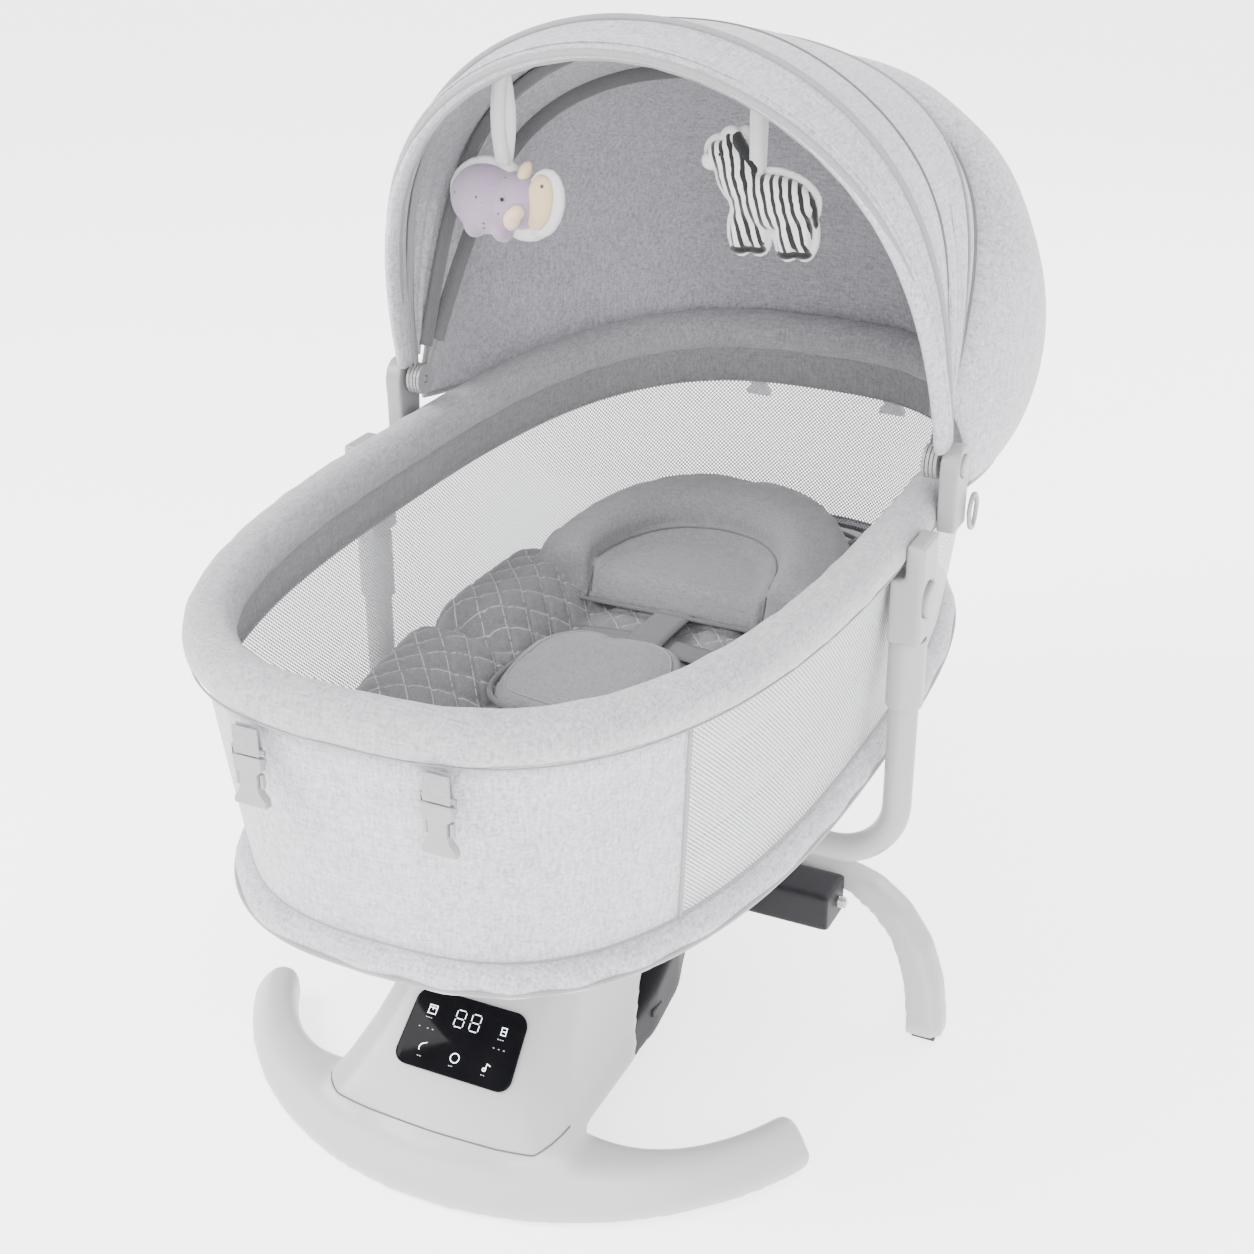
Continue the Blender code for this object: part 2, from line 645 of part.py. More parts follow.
def buckle_outline(width=0.020):
    """Side-release buckle seen from the front: a waisted body with a wider lower plate."""
    half = width / 2
    right = [(half, 0.0), (half, -0.008), (half - 0.003, -0.011), (half - 0.003, -0.022),
             (half + 0.002, -0.029), (half + 0.002, -0.034)]
    return right + [(-x, y) for x, y in reversed(right)]


def end_buckles():
    """Two buckles on the outside of each end wall, each on a loop of webbing from under the rim."""
    top = 0.3700
    for end, end_name in ((-1, "foot"), (1, "head")):
        surface = end * (RIM_LENGTH_HALF + 0.0085)
        for side in (-1, 1):
            name = end_name + "_buckle_" + side_name(side)
            x = side * 0.066
            outline = [(x + a, top + b) for a, b in buckle_outline()]
            buckle = solid(name, "grey_plastic", [prism(outline, surface, surface + end * 0.0065, "Y")])
            near, far = sorted((surface + end * 0.0020, surface + end * 0.0036))
            loop = box((x - 0.008, near, top - 0.003), (x + 0.008, far, 0.3850))
            boolean(buckle, name + "_webbing", [loop], "UNION")


# ---- canopy ----
def canopy_hubs():
    outline = []
    for i in range(9):
        a = pi * i / 8
        outline.append((HUB_Y + 0.016 * cos(a), HUB_Z + 0.016 * sin(a)))
    outline += [(HUB_Y - 0.014, 0.396), (HUB_Y + 0.014, 0.396)]
    for side in (-1, 1):
        name = side_name(side)
        plate = prism(outline, 0.2232, 0.2370, "X")
        plate = plate if side > 0 else mirrored(plate)
        hub = solid("canopy_hub_" + name, "grey_plastic", [plate])
        pin = rod(PIN_RADIUS, 0.2080, 0.2250, (HUB_Y, HUB_Z), "X", 12)
        pin = pin if side > 0 else mirrored(pin)
        boolean(hub, "hub_pin_" + name, [pin], "UNION")
        recess = rod(0.0084, 0.2320, 0.2400, (HUB_Y, HUB_Z), "X", 16)
        recess = recess if side > 0 else mirrored(recess)
        boolean(hub, "hub_recess_" + name, [recess])
        button = rod(0.0080, 0.2346, 0.2392, (HUB_Y, HUB_Z), "X", 16)
        button = button if side > 0 else mirrored(button)
        pivot = (side * 0.2392, HUB_Y, HUB_Z)
        solid("hub_button_" + name, "grey_plastic", [button], pivot=pivot)
        ring = [(HUB_Y + 0.022 + 0.010 * cos(a), 0.4020 + 0.013 * sin(a)) for a in
                (2 * pi * i / 16 for i in range(16))]
        path = [(side * 0.2400, y, z) for y, z in ring]
        hook = pipe(path, 0.0018, 8, closed=True)
        solid("d_ring_" + name, "grey_plastic", [hook], pivot=(side * 0.2400, HUB_Y + 0.022, 0.4150), smooth=True)


def bow_point(turn, lean, reach, width_half, exponent, flare):
    """A point on an arch that stands on both hubs; turn runs from 0 at the right hub to pi."""
    c, s = cos(turn), max(0.0, sin(turn))
    side = 1 if c >= 0 else -1
    x = side * (width_half * abs(c) ** (2 / exponent) + flare * sin(2 * turn) ** 2)
    rise = reach * s ** (2 / exponent)
    return Vector((x, HUB_Y - rise * cos(lean), HUB_Z + rise * sin(lean)))


def canopy_bows():
    """Each bow is a bent rod with a flat eye at both ends; the eyes stack on the hub pins."""
    steps = 24
    for name, (lean, reach, width_half, exponent) in BOWS.items():
        middle_of_eye = width_half - BOW_EYE_THICKNESS / 2
        path = []
        for i in range(steps + 1):
            turn = BOW_ROD_START + (pi - 2 * BOW_ROD_START) * i / steps
            path.append(bow_point(turn, radians(lean), reach, middle_of_eye, exponent, BOW_FLARE[name]))
        foot = Vector((0, -cos(radians(lean)), sin(radians(lean)))) * 0.0108 + Vector((0, HUB_Y, HUB_Z))
        path.insert(0, foot + Vector((middle_of_eye, 0, 0)))
        path.append(foot - Vector((middle_of_eye, 0, 0)))
        pivot = (0, HUB_Y, HUB_Z)
        rings = []
        for point, up, side in frames_along(path):
            height = ((point.y - HUB_Y) ** 2 + (point.z - HUB_Z) ** 2) ** 0.5
            roundness = min(1.0, max(0.0, height / BOW_FLAT_LENGTH - 1))
            flatness = BOW_EYE_THICKNESS / 2 / BOW_RADIUS
            flatness += (1 - flatness) * roundness
            ring = []
            for s in range(8):
                a = 2 * pi * s / 8
                offset = (up * cos(a) + side * sin(a)) * BOW_RADIUS
                offset.x *= flatness
                ring.append(point + offset)
            rings.append(ring)
        bow = solid(name, "steel", [loft(rings)], pivot=pivot, smooth=True)
        for side in (-1, 1):
            inner, outer = side * (width_half - BOW_EYE_THICKNESS), side * width_half
            profile = [(PIN_RADIUS + GAP, inner), (BOW_EYE_RADIUS, inner),
                       (BOW_EYE_RADIUS, outer), (PIN_RADIUS + GAP, outer)]
            eye = turned(profile, (HUB_Y, HUB_Z), "X", 16)
            boolean(bow, name + "_eye_" + side_name(side), [eye], "UNION")


def canopy_sheet(first, last, lift, thickness=0.002, across=18, around=3, ends=(0.10, 0.10)):
    """A curved fabric panel between two arches, as a thin closed shell just outside the bows."""
    shells = []
    for offset in (lift, lift + thickness):
        grid = []
        for j in range(around + 1):
            share = j / around
            shape = [a + (b - a) * share for a, b in zip(first, last)]
            row = []
            for i in range(across + 1):
                turn = ends[0] + (pi - ends[0] - ends[1]) * i / across
                lean, reach, width_half, exponent, flare = shape
                point = bow_point(turn, radians(lean), reach + offset, width_half + offset, exponent, flare)
                row.append(point)
            grid.append(row)
        shells.append(grid)
    return sheet_solid(*shells)


def sheet_solid(inner, outer):
    """Closed solid between two grids of points of the same size."""
    rows, columns = len(inner), len(inner[0])
    points = [p for grid in (inner, outer) for row in grid for p in row]
    size = rows * columns
    faces = []
    for r in range(rows - 1):
        for c in range(columns - 1):
            a = r * columns + c
            b, d, e = a + 1, a + columns, a + columns + 1
            faces.append((a, b, e, d))
            faces.append((size + a, size + d, size + e, size + b))
    edge = [(0, c) for c in range(columns)] + [(r, columns - 1) for r in range(1, rows)]
    edge += [(rows - 1, c) for c in range(columns - 2, -1, -1)] + [(r, 0) for r in range(rows - 2, 0, -1)]
    for k, (r, c) in enumerate(edge):
        r2, c2 = edge[(k + 1) % len(edge)]
        a, b = r * columns + c, r2 * columns + c2
        faces.append((a, b, size + b, size + a))
    return points, faces


def bow_shape(name):
    lean, reach, width_half, exponent = BOWS[name]
    return (lean, reach, width_half, exponent, BOW_FLARE[name])


def canopy_fabric():
    front, second = bow_shape("canopy_bow_front"), bow_shape("canopy_bow_second")
    third, rear = bow_shape("canopy_bow_third"), bow_shape("canopy_bow_rear")
    pivot = (0, HUB_Y, HUB_Z)
    visor = canopy_sheet(front, second, 0.0105, around=1)
    solid("canopy_visor", "light_fabric", [visor], pivot=pivot)
    roof = canopy_sheet(second, third, 0.0075)
    solid("canopy_roof", "light_fabric", [roof], pivot=pivot)
    shoulder = canopy_sheet(third, rear, 0.0045, around=2)
    solid("canopy_shoulder", "light_fabric", [shoulder], pivot=pivot)
    solid("canopy_back", "light_fabric", [canopy_back(rear)])


def canopy_back(rear):
    """Rear panel: from the last bow, bulging, down to a hem outside the rim's head end."""
    across = 24
    shares = (0.0, 0.06, 0.20, 0.42, 0.66, 0.84, 0.95, 1.0)
    hem_low, hem_high = 0.374, 0.430
    shells = []
    for offset in (0.0, 0.002):
        grid = []
        for share in shares:
            row = []
            for i in range(across + 1):
                turn = 0.14 + (pi - 0.28) * i / across
                lean, reach, width_half, exponent, flare = rear
                top = bow_point(turn, radians(lean + 0.6), reach + 0.0045 + offset,
                                width_half + 0.0045 + offset, exponent, flare)
                x, y = superellipse(0.09 + (pi - 0.18) * i / across,
                                    RIM_WIDTH_HALF + 0.0250 + offset, RIM_LENGTH_HALF + 0.0250 + offset)
                dip = sin(turn) ** 0.5
                hem = Vector((x, y, hem_high + (hem_low - hem_high) * dip))
                bulge = (4 * share * (1 - share)) ** 0.6
                out = Vector((0.044 * cos(turn) * sin(turn) ** 0.3, 0.010 * sin(turn), 0.080 * sin(turn))) * bulge
                row.append(top.lerp(hem, share) + out)
            grid.append(row)
        shells.append(grid)
    return sheet_solid(*shells)


# ---- hanging toys ----
def toy(name, finish, place, size, ribbon_top):
    """A small stuffed animal on a ribbon."""
    x, y, z = place
    width, depth, height = size
    rings = []
    for share in (-0.92, -0.6, 0.0, 0.6, 0.92):
        half = (1 - share * share) ** 0.5
        ring = [(x + width * share, y + depth * half * cos(a), z + height * half * sin(a)) for a in
                (2 * pi * s / 12 for s in range(12))]
        rings.append(ring)
    body = loft(rings)
    ribbon = box((x - 0.006, y - 0.0008, z), (x + 0.006, y + 0.0008, ribbon_top))
    animal = solid(name, finish, [body], pivot=(x, y, ribbon_top))
    boolean(animal, name + "_ribbon", [ribbon], "UNION")


def main():
    clear_scene()
    front_foot()
    tower_cover()
    control_panel()
    lower_housing()
    gearbox_lid()
    bearings()
    drive_motor()
    pinion()
    sector_gear()
    rear_leg()
    leg_buttons()
    foot_pads()
    base_fittings()
    swing_drive()
    carrier_tube()
    hinge_fittings()
    rim()
    basket()
    pads()
    end_buckles()
    canopy_hubs()
    canopy_bows()
    canopy_fabric()
    toy("toy_elephant", "lilac_plush", (-0.126, 0.035, 0.600), (0.048, 0.020, 0.030), 0.696)
    toy("toy_zebra", "white_plush", (0.066, 0.060, 0.618), (0.046, 0.012, 0.045), 0.714)


main()
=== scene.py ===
"""Looks of the electric baby swing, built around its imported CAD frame. Metres, +Z up, foot end at -Y."""

from math import cos, exp, pi, radians, sin, sqrt

import bmesh
import bpy
from mathutils import Matrix, Vector
from mathutils.bvhtree import BVHTree


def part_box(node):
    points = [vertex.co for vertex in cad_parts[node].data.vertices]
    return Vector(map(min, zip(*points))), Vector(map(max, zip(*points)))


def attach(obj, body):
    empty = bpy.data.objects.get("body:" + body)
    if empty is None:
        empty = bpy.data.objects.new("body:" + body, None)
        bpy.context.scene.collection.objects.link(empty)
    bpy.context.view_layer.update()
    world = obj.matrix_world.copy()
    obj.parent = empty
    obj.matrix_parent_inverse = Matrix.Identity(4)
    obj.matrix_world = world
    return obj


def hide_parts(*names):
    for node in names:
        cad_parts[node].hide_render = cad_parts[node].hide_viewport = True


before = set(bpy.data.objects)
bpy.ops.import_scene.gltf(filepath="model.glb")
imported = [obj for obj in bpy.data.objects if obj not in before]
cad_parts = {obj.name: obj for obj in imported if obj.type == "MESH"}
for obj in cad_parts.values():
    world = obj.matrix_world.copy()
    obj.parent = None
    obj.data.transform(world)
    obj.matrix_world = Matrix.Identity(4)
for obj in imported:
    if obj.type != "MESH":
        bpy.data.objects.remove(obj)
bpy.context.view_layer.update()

# ---- sizes read from the frame ----
RIM_TUBE_RADIUS = (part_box("rim_tube_head")[1].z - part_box("rim_tube_head")[0].z) / 2
RIM_RADIUS = (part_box("rim_foam_head")[1].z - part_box("rim_foam_head")[0].z) / 2
RIM_Z = (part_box("rim_foam_head")[1].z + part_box("rim_foam_head")[0].z) / 2
RIM_A = -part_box("rim_tube_foot")[0].y - RIM_TUBE_RADIUS    # half-length of the rim's centre line
RIM_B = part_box("rim_tube_head")[1].x - RIM_TUBE_RADIUS     # half-width
RIM_EXPONENT = 2.8
BOTTOM_B = 0.1925                   # half-width of the basket's underside
BOTTOM_A = 0.3860                   # half-length
WALL_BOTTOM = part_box("basket_wall")[0].z
WALL_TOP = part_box("basket_wall")[1].z
HUB_Y = (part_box("canopy_hub_left")[0].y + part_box("canopy_hub_left")[1].y) / 2
HUB_Z = (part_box("hub_button_left")[0].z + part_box("hub_button_left")[1].z) / 2
SWING_Y = (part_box("saddle_cap")[0].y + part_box("saddle_cap")[1].y) / 2
CARRIER_X = (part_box("tube_sleeve_right")[0].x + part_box("tube_sleeve_right")[1].x) / 2
CARRIER_RADIUS = 0.011
CARRIER_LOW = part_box("carrier_tube")[0].z + CARRIER_RADIUS
FITTING_Z = (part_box("release_button_left")[0].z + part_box("release_button_left")[1].z) / 2

# Bows: lean from horizontal at the foot end (degrees), reach, half-width, squareness, flare.
BOWS = {
    "front": (73.0, 0.2955, 0.2184, 2.08, 0.010),
    "second": (82.0, 0.2935, 0.2154, 2.15, 0.014),
    "third": (112.0, 0.2850, 0.2124, 2.60, 0.016),
    "rear": (126.0, 0.2830, 0.2094, 2.90, 0.010),
}


# ---- geometry helpers ----
def mesh_object(name, points, faces, material=None, smooth=True, uvs=None):
    """A new object in the scene from points and faces, with one UV pair per point when given."""
    mesh = bpy.data.meshes.new(name)
    mesh.from_pydata([tuple(p) for p in points], [], faces)
    if uvs:
        layer = mesh.uv_layers.new(name="UVMap")
        for loop in mesh.loops:
            layer.data[loop.index].uv = uvs[loop.vertex_index]
    if smooth:
        mesh.shade_smooth()
    made = bpy.data.objects.new(name, mesh)
    bpy.context.scene.collection.objects.link(made)
    if material:
        mesh.materials.append(material)
    return made


def tidy_normals(piece):
    """Turns every face outward."""
    work = bmesh.new()
    work.from_mesh(piece.data)
    bmesh.ops.recalc_face_normals(work, faces=work.faces)
    work.to_mesh(piece.data)
    work.free()
    return piece


def keep_sharp(piece, angle=40):
    """Smooth shading, except at edges sharper than the angle in degrees."""
    piece.data.shade_smooth()
    piece.data.set_sharp_from_angle(angle=radians(angle))
    return piece


def grid_sheet(name, grid, material, thickness=0.0015, wrap=False):
    """A sheet of cloth over a grid of points, given a thickness, with UVs in metres along both ways."""
    rows, columns = len(grid), len(grid[0])
    points = [Vector(p) for row in grid for p in row]
    middle = rows // 2
    across = [0.0]
    for c in range(1, columns):
        across.append(across[-1] + (points[middle * columns + c] - points[middle * columns + c - 1]).length)
    uvs = []
    heights = [0.0] * columns
    for r in range(rows):
        for c in range(columns):
            if r:
                heights[c] += (points[r * columns + c] - points[(r - 1) * columns + c]).length
            uvs.append((across[c], heights[c]))
    faces = []
    for r in range(rows - 1):
        for c in range(columns if wrap else columns - 1):
            d = (c + 1) % columns
            faces.append((r * columns + c, r * columns + d, (r + 1) * columns + d, (r + 1) * columns + c))
    piece = mesh_object(name, points, faces, material, uvs=uvs)
    if thickness:
        solid = piece.modifiers.new("thickness", "SOLIDIFY")
        solid.thickness = thickness
        solid.offset = 0
        solid.use_even_offset = False
    return piece


def frames_along(path, closed=False):
    """Each point of a path with an up and a side direction that turn with it and don't twist."""
    count = len(path)
    result = []
    across = None
    for i in range(count):
        before = path[i - 1] if closed or i > 0 else path[i]
        after = path[(i + 1) % count] if closed or i < count - 1 else path[i]
        along = (Vector(after) - Vector(before)).normalized()
        if across is None:
            guide = Vector((0, 0, 1)) if abs(along.z) < 0.9 else Vector((1, 0, 0))
            across = guide - along * guide.dot(along)
        else:
            across = across - along * across.dot(along)
        across.normalize()
        result.append((Vector(path[i]), across.copy(), along.cross(across)))
    return result


def sweep(name, path, section, material, closed=False, caps=True):
    """A section of (up, side) offsets carried along a path. The section may be a function of the step."""
    rings = []
    for i, (point, up, side) in enumerate(frames_along(path, closed)):
        outline = section(i) if callable(section) else section
        rings.append([point + up * a + side * b for a, b in outline])
    sides = len(rings[0])
    points = [p for ring in rings for p in ring]
    faces = []
    for r in range(len(rings) if closed else len(rings) - 1):
        after = (r + 1) % len(rings)
        for s in range(sides):
            t = (s + 1) % sides
            faces.append((r * sides + s, r * sides + t, after * sides + t, after * sides + s))
    if not closed and caps:
        faces.append(tuple(reversed(range(sides))))
        faces.append(tuple((len(rings) - 1) * sides + s for s in range(sides)))
    return tidy_normals(mesh_object(name, points, faces, material))


def round_section(radius, sides=16, flat=1.0):
    """Circle of (up, side) offsets for a sweep, flattened sideways by flat."""
    return [(radius * cos(2 * pi * s / sides), radius * flat * sin(2 * pi * s / sides)) for s in range(sides)]


def superellipse(turn, width, length, exponent=RIM_EXPONENT):
    """Point of the oval with these half-sizes, at an angle from +X."""
    c, s = cos(turn), sin(turn)
    x = width * abs(c) ** (2 / exponent) * (1 if c >= 0 else -1)
    y = length * abs(s) ** (2 / exponent) * (1 if s >= 0 else -1)
    return x, y


def even_oval(width, length, count, exponent=RIM_EXPONENT):
    """Evenly spaced points round the oval, starting at +X and turning towards the head end."""
    fine = [Vector(superellipse(2 * pi * i / 1440, width, length, exponent)) for i in range(1441)]
    reach = [0.0]
    for i in range(1, len(fine)):
        reach.append(reach[-1] + (fine[i] - fine[i - 1]).length)
    result = []
    k = 0
    for i in range(count):
        goal = reach[-1] * i / count
        while reach[k + 1] < goal:
            k += 1
        share = (goal - reach[k]) / max(1e-9, reach[k + 1] - reach[k])
        result.append(fine[k].lerp(fine[k + 1], share))
    return result


def wall_size(height):
    """Half-width and half-length of the basket wall's outside at a height."""
    share = (height - WALL_BOTTOM) / (WALL_TOP - WALL_BOTTOM)
    flare = 0.0025 * share ** 3
    return BOTTOM_B + 0.0160 * share + flare, BOTTOM_A + 0.0205 * share + flare


def bow_point(turn, shape, lift=0.0):
    """Point of a canopy bow, from hub to hub as turn goes from 0 to pi, raised outward by lift."""
    lean, reach, width, exponent, flare = shape
    c, s = cos(turn), max(0.0, sin(turn))
    side = 1 if c >= 0 else -1
    x = side * ((width + lift) * abs(c) ** (2 / exponent) + flare * sin(2 * turn) ** 2)
    rise = (reach + lift) * s ** (2 / exponent)
    a = radians(lean)
    return Vector((x, HUB_Y - rise * cos(a), HUB_Z + rise * sin(a)))


def between(first, last, share):
    """Mix of two bow shapes."""
    return tuple(a + (b - a) * share for a, b in zip(first, last))


def apply_modifiers(piece):
    """Makes the modified mesh the piece's own mesh."""
    depsgraph = bpy.context.evaluated_depsgraph_get()
    mesh = bpy.data.meshes.new_from_object(piece.evaluated_get(depsgraph), depsgraph=depsgraph)
    old = piece.data
    piece.modifiers.clear()
    piece.data = mesh
    bpy.data.meshes.remove(old)
    return piece


def voxel_solid(piece, voxel, smooth=0, factor=0.5):
    """Fuses a piece into one skin on a voxel grid, then relaxes it smooth times."""
    remesh = piece.modifiers.new("remesh", "REMESH")
    remesh.mode = "VOXEL"
    remesh.voxel_size = voxel
    if smooth:
        relax = piece.modifiers.new("relax", "SMOOTH")
        relax.factor = factor
        relax.iterations = smooth
    apply_modifiers(piece)
    piece.data.shade_smooth()
    return piece


def join_meshes(name, pieces, material):
    """One object from several meshes, which are removed."""
    work = bmesh.new()
    for piece in pieces:
        part = bmesh.new()
        part.from_mesh(piece.data)
        part.transform(piece.matrix_world)
        spare = bpy.data.meshes.new("spare")
        part.to_mesh(spare)
        part.free()
        work.from_mesh(spare)
        bpy.data.meshes.remove(spare)
        bpy.data.objects.remove(piece)
    mesh = bpy.data.meshes.new(name)
    work.to_mesh(mesh)
    work.free()
    mesh.materials.append(material)
    made = bpy.data.objects.new(name, mesh)
    bpy.context.scene.collection.objects.link(made)
    mesh.shade_smooth()
    return made


def cad_copy(*nodes):
    """Copies of CAD nodes' meshes as new objects."""
    made = []
    for node in nodes:
        copy = bpy.data.objects.new("copy_" + node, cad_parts[node].data.copy())
        copy.data.materials.clear()
        bpy.context.scene.collection.objects.link(copy)
        made.append(copy)
    return made


def softened(name, nodes, material, voxel=0.0025, smooth=6):
    """A rounded moulding over CAD nodes, with soft edges."""
    piece = join_meshes(name, cad_copy(*nodes), material)
    voxel_solid(piece, voxel, smooth)
    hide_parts(*nodes)
    return piece


def rounded_box(name, low, high, material, edge=0.001, segments=3):
    """A box between two corners, with rounded edges."""
    x0, y0, z0 = low
    x1, y1, z1 = high
    points = [(x, y, z) for z in (z0, z1) for x, y in ((x0, y0), (x1, y0), (x1, y1), (x0, y1))]
    faces = [(3, 2, 1, 0), (4, 5, 6, 7), (0, 1, 5, 4), (1, 2, 6, 5), (2, 3, 7, 6), (3, 0, 4, 7)]
    piece = mesh_object(name, points, faces, material)
    bevel = piece.modifiers.new("bevel", "BEVEL")
    bevel.width = edge
    bevel.segments = segments
    return keep_sharp(piece)


def ellipsoid(centre, radii, turn=0.0, segments=24):
    """A smooth egg shape; turn rotates it about Y, in degrees."""
    work = bmesh.new()
    bmesh.ops.create_uvsphere(work, u_segments=segments, v_segments=segments // 2, radius=1.0)
    place = Matrix.Translation(centre) @ Matrix.Rotation(radians(turn), 4, "Y")
    work.transform(place @ Matrix.Diagonal((*radii, 1.0)))
    mesh = bpy.data.meshes.new("egg")
    work.to_mesh(mesh)
    work.free()
    made = bpy.data.objects.new("egg", mesh)
    bpy.context.scene.collection.objects.link(made)
    return made


def puff(piece, voxel=0.005, pressure=4.0, cap=0.008, frames=20):
    """Swells a closed mesh with a cloth simulation. No point moves further than cap."""
    remesh = piece.modifiers.new("remesh", "REMESH")
    remesh.mode = "VOXEL"
    remesh.voxel_size = voxel
    apply_modifiers(piece)
    start = [v.co.copy() for v in piece.data.vertices]
    scene = bpy.context.scene
    cloth = piece.modifiers.new("cloth", "CLOTH")
    cloth.settings.use_pressure = True
    cloth.settings.uniform_pressure_force = pressure
    cloth.settings.quality = 5
    cloth.settings.mass = 0.25
    cloth.settings.tension_stiffness = 12
    cloth.settings.compression_stiffness = 12
    cloth.settings.effector_weights.gravity = 0
    cloth.point_cache.frame_start = 1
    cloth.point_cache.frame_end = frames
    for number in range(1, frames + 1):
        scene.frame_set(number)
    apply_modifiers(piece)
    scene.frame_set(1)
    steps = [vertex.co - origin for vertex, origin in zip(piece.data.vertices, start)]
    for vertex, origin, step in zip(piece.data.vertices, start, steps):
        if step.length > cap:
            vertex.co = origin + step * (cap / step.length)
    piece.data.shade_smooth()
    return piece


def move_vertices(piece, rule):
    """Moves each point where the rule puts it, given its place and normal."""
    moved = [rule(vertex.co.copy(), vertex.normal.copy()) for vertex in piece.data.vertices]
    for vertex, place in zip(piece.data.vertices, moved):
        vertex.co = place
    piece.data.update()


def flat_below(floor, reach):
    """A rule for move_vertices: points less than reach above the floor are set onto it."""
    def rule(co, normal):
        return Vector((co.x, co.y, floor)) if co.z < floor + reach else co

    return rule


def subdivide(piece, levels=1):
    """Adds a subdivision surface."""
    subsurf = piece.modifiers.new("subdivide", "SUBSURF")
    subsurf.levels = levels
    subsurf.render_levels = levels
    return piece


def ride(piece, body):
    """Fixes a piece to a moving body."""
    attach(piece, body)
    return piece


# ---- materials ----
class Nodes:
    """Short way to build a node tree."""

    def __init__(self, name):
        self.material = bpy.data.materials.new(name)
        self.material.use_nodes = True
        self.tree = self.material.node_tree
        self.shader = self.tree.nodes["Principled BSDF"]

    def add(self, kind, inputs=None, **settings):
        node = self.tree.nodes.new(kind)
        for key, value in settings.items():
            setattr(node, key, value)
        for key, value in (inputs or {}).items():
            self.feed(node.inputs[key], value)
        return node

    def feed(self, socket, value):
        if isinstance(value, bpy.types.NodeSocket):
            self.tree.links.new(value, socket)
        else:
            socket.default_value = value

    def math(self, operation, a, b=0.0, clamp=False):
        node = self.add("ShaderNodeMath", {0: a, 1: b}, operation=operation, use_clamp=clamp)
        return node.outputs[0]

    def scaled(self, coordinates, factors):
        node = self.add("ShaderNodeVectorMath", {0: coordinates, 1: factors}, operation="MULTIPLY")
        return node.outputs[0]

    def noise(self, coordinates, scale=1.0, detail=2.0, roughness=0.5):
        inputs = {"Vector": coordinates, "Scale": scale, "Detail": detail, "Roughness": roughness}
        return self.add("ShaderNodeTexNoise", inputs).outputs["Fac"]

    def blend(self, share, a, b):
        node = self.add("ShaderNodeMix", data_type="RGBA")
        self.feed(node.inputs[0], share)
        self.feed(node.inputs[6], a)
        self.feed(node.inputs[7], b)
        return node.outputs[2]

    def bump(self, height, strength, distance, normal=None):
        inputs = {"Height": height, "Strength": strength, "Distance": distance}
        if normal:
            inputs["Normal"] = normal
        return self.add("ShaderNodeBump", inputs).outputs["Normal"]

    def finish(self, colour=None, roughness=None, normal=None):
        for key, value in (("Base Color", colour), ("Roughness", roughness), ("Normal", normal)):
            if value is not None:
                self.feed(self.shader.inputs[key], value)
        return self.material


def rgb(r, g, b):
    """Opaque colour."""
    return (r, g, b, 1.0)


def shade(colour, factor):
    """The colour made darker or lighter by a factor."""
    return rgb(*(min(1.0, c * factor) for c in colour[:3]))


def woven(name, colour, contrast=0.34, pitch=0.0020, bump=0.45, quilt=None, stretch=6.0):
    """Melange linen: short threads along both ways with slubs, in object space."""
    n = Nodes(name)
    where = n.add("ShaderNodeTexCoord").outputs["Object"]
    fine = 1.0 / pitch
    along_x = n.noise(n.scaled(where, (fine / stretch, fine, fine)), 1.0, 2.0, 0.6)
    along_z = n.noise(n.scaled(where, (fine, fine, fine / stretch)), 1.0, 2.0, 0.6)
    along_y = n.noise(n.scaled(where, (fine, fine / stretch, fine)), 1.0, 2.0, 0.6)
    threads = n.math("MULTIPLY", n.math("ADD", n.math("ADD", along_x, along_z), along_y), 1 / 3)
    spread = n.math("MULTIPLY_ADD", threads, 4.6)
    spread.node.inputs[2].default_value = -1.8
    spread.node.use_clamp = True
    patches = n.noise(where, 14.0, 3.0)
    tone = n.math("MULTIPLY_ADD", patches, 0.30)
    n.feed(tone.node.inputs[2], n.math("MULTIPLY", spread, 0.85))
    tone.node.use_clamp = True
    result = n.blend(tone, shade(colour, 1 - contrast), shade(colour, 1 + contrast))
    height = spread
    normal = n.bump(height, bump, 0.0006)
    if quilt:
        pitch_q, thread_colour = quilt
        split = n.add("ShaderNodeSeparateXYZ", {0: where}).outputs
        lines = []
        for sign in (1, -1):
            run = n.math("MULTIPLY_ADD", split[0], sign * 1.25)
            n.feed(run.node.inputs[2], split[1])
            wobble = n.noise(where, 18.0, 1.0)
            run = n.math("ADD", n.math("DIVIDE", run, pitch_q), n.math("MULTIPLY", wobble, 0.35))
            wave = n.math("ABSOLUTE", n.math("SUBTRACT", n.math("FRACT", run), 0.5))
            lines.append(wave)
        nearest = n.math("MAXIMUM", lines[0], lines[1])
        stitch = n.math("GREATER_THAN", nearest, 0.5 - 0.0007 / pitch_q)
        gaps = n.noise(n.scaled(where, (350.0, 350.0, 350.0)), 1.0, 0.0)
        stitch = n.math("MULTIPLY", stitch, n.math("GREATER_THAN", gaps, 0.36))
        result = n.blend(stitch, result, thread_colour)
        ditch = n.math("SMOOTH_MAX", n.math("MULTIPLY", nearest, 2.0), 0.55)
        normal = n.bump(n.math("MULTIPLY", ditch, -1.0), 0.5, 0.004, normal)
    n.shader.inputs["Sheen Weight"].default_value = 0.25
    n.shader.inputs["Sheen Roughness"].default_value = 0.6
    n.shader.inputs["Specular IOR Level"].default_value = 0.25
    return n.finish(result, 0.92, normal)


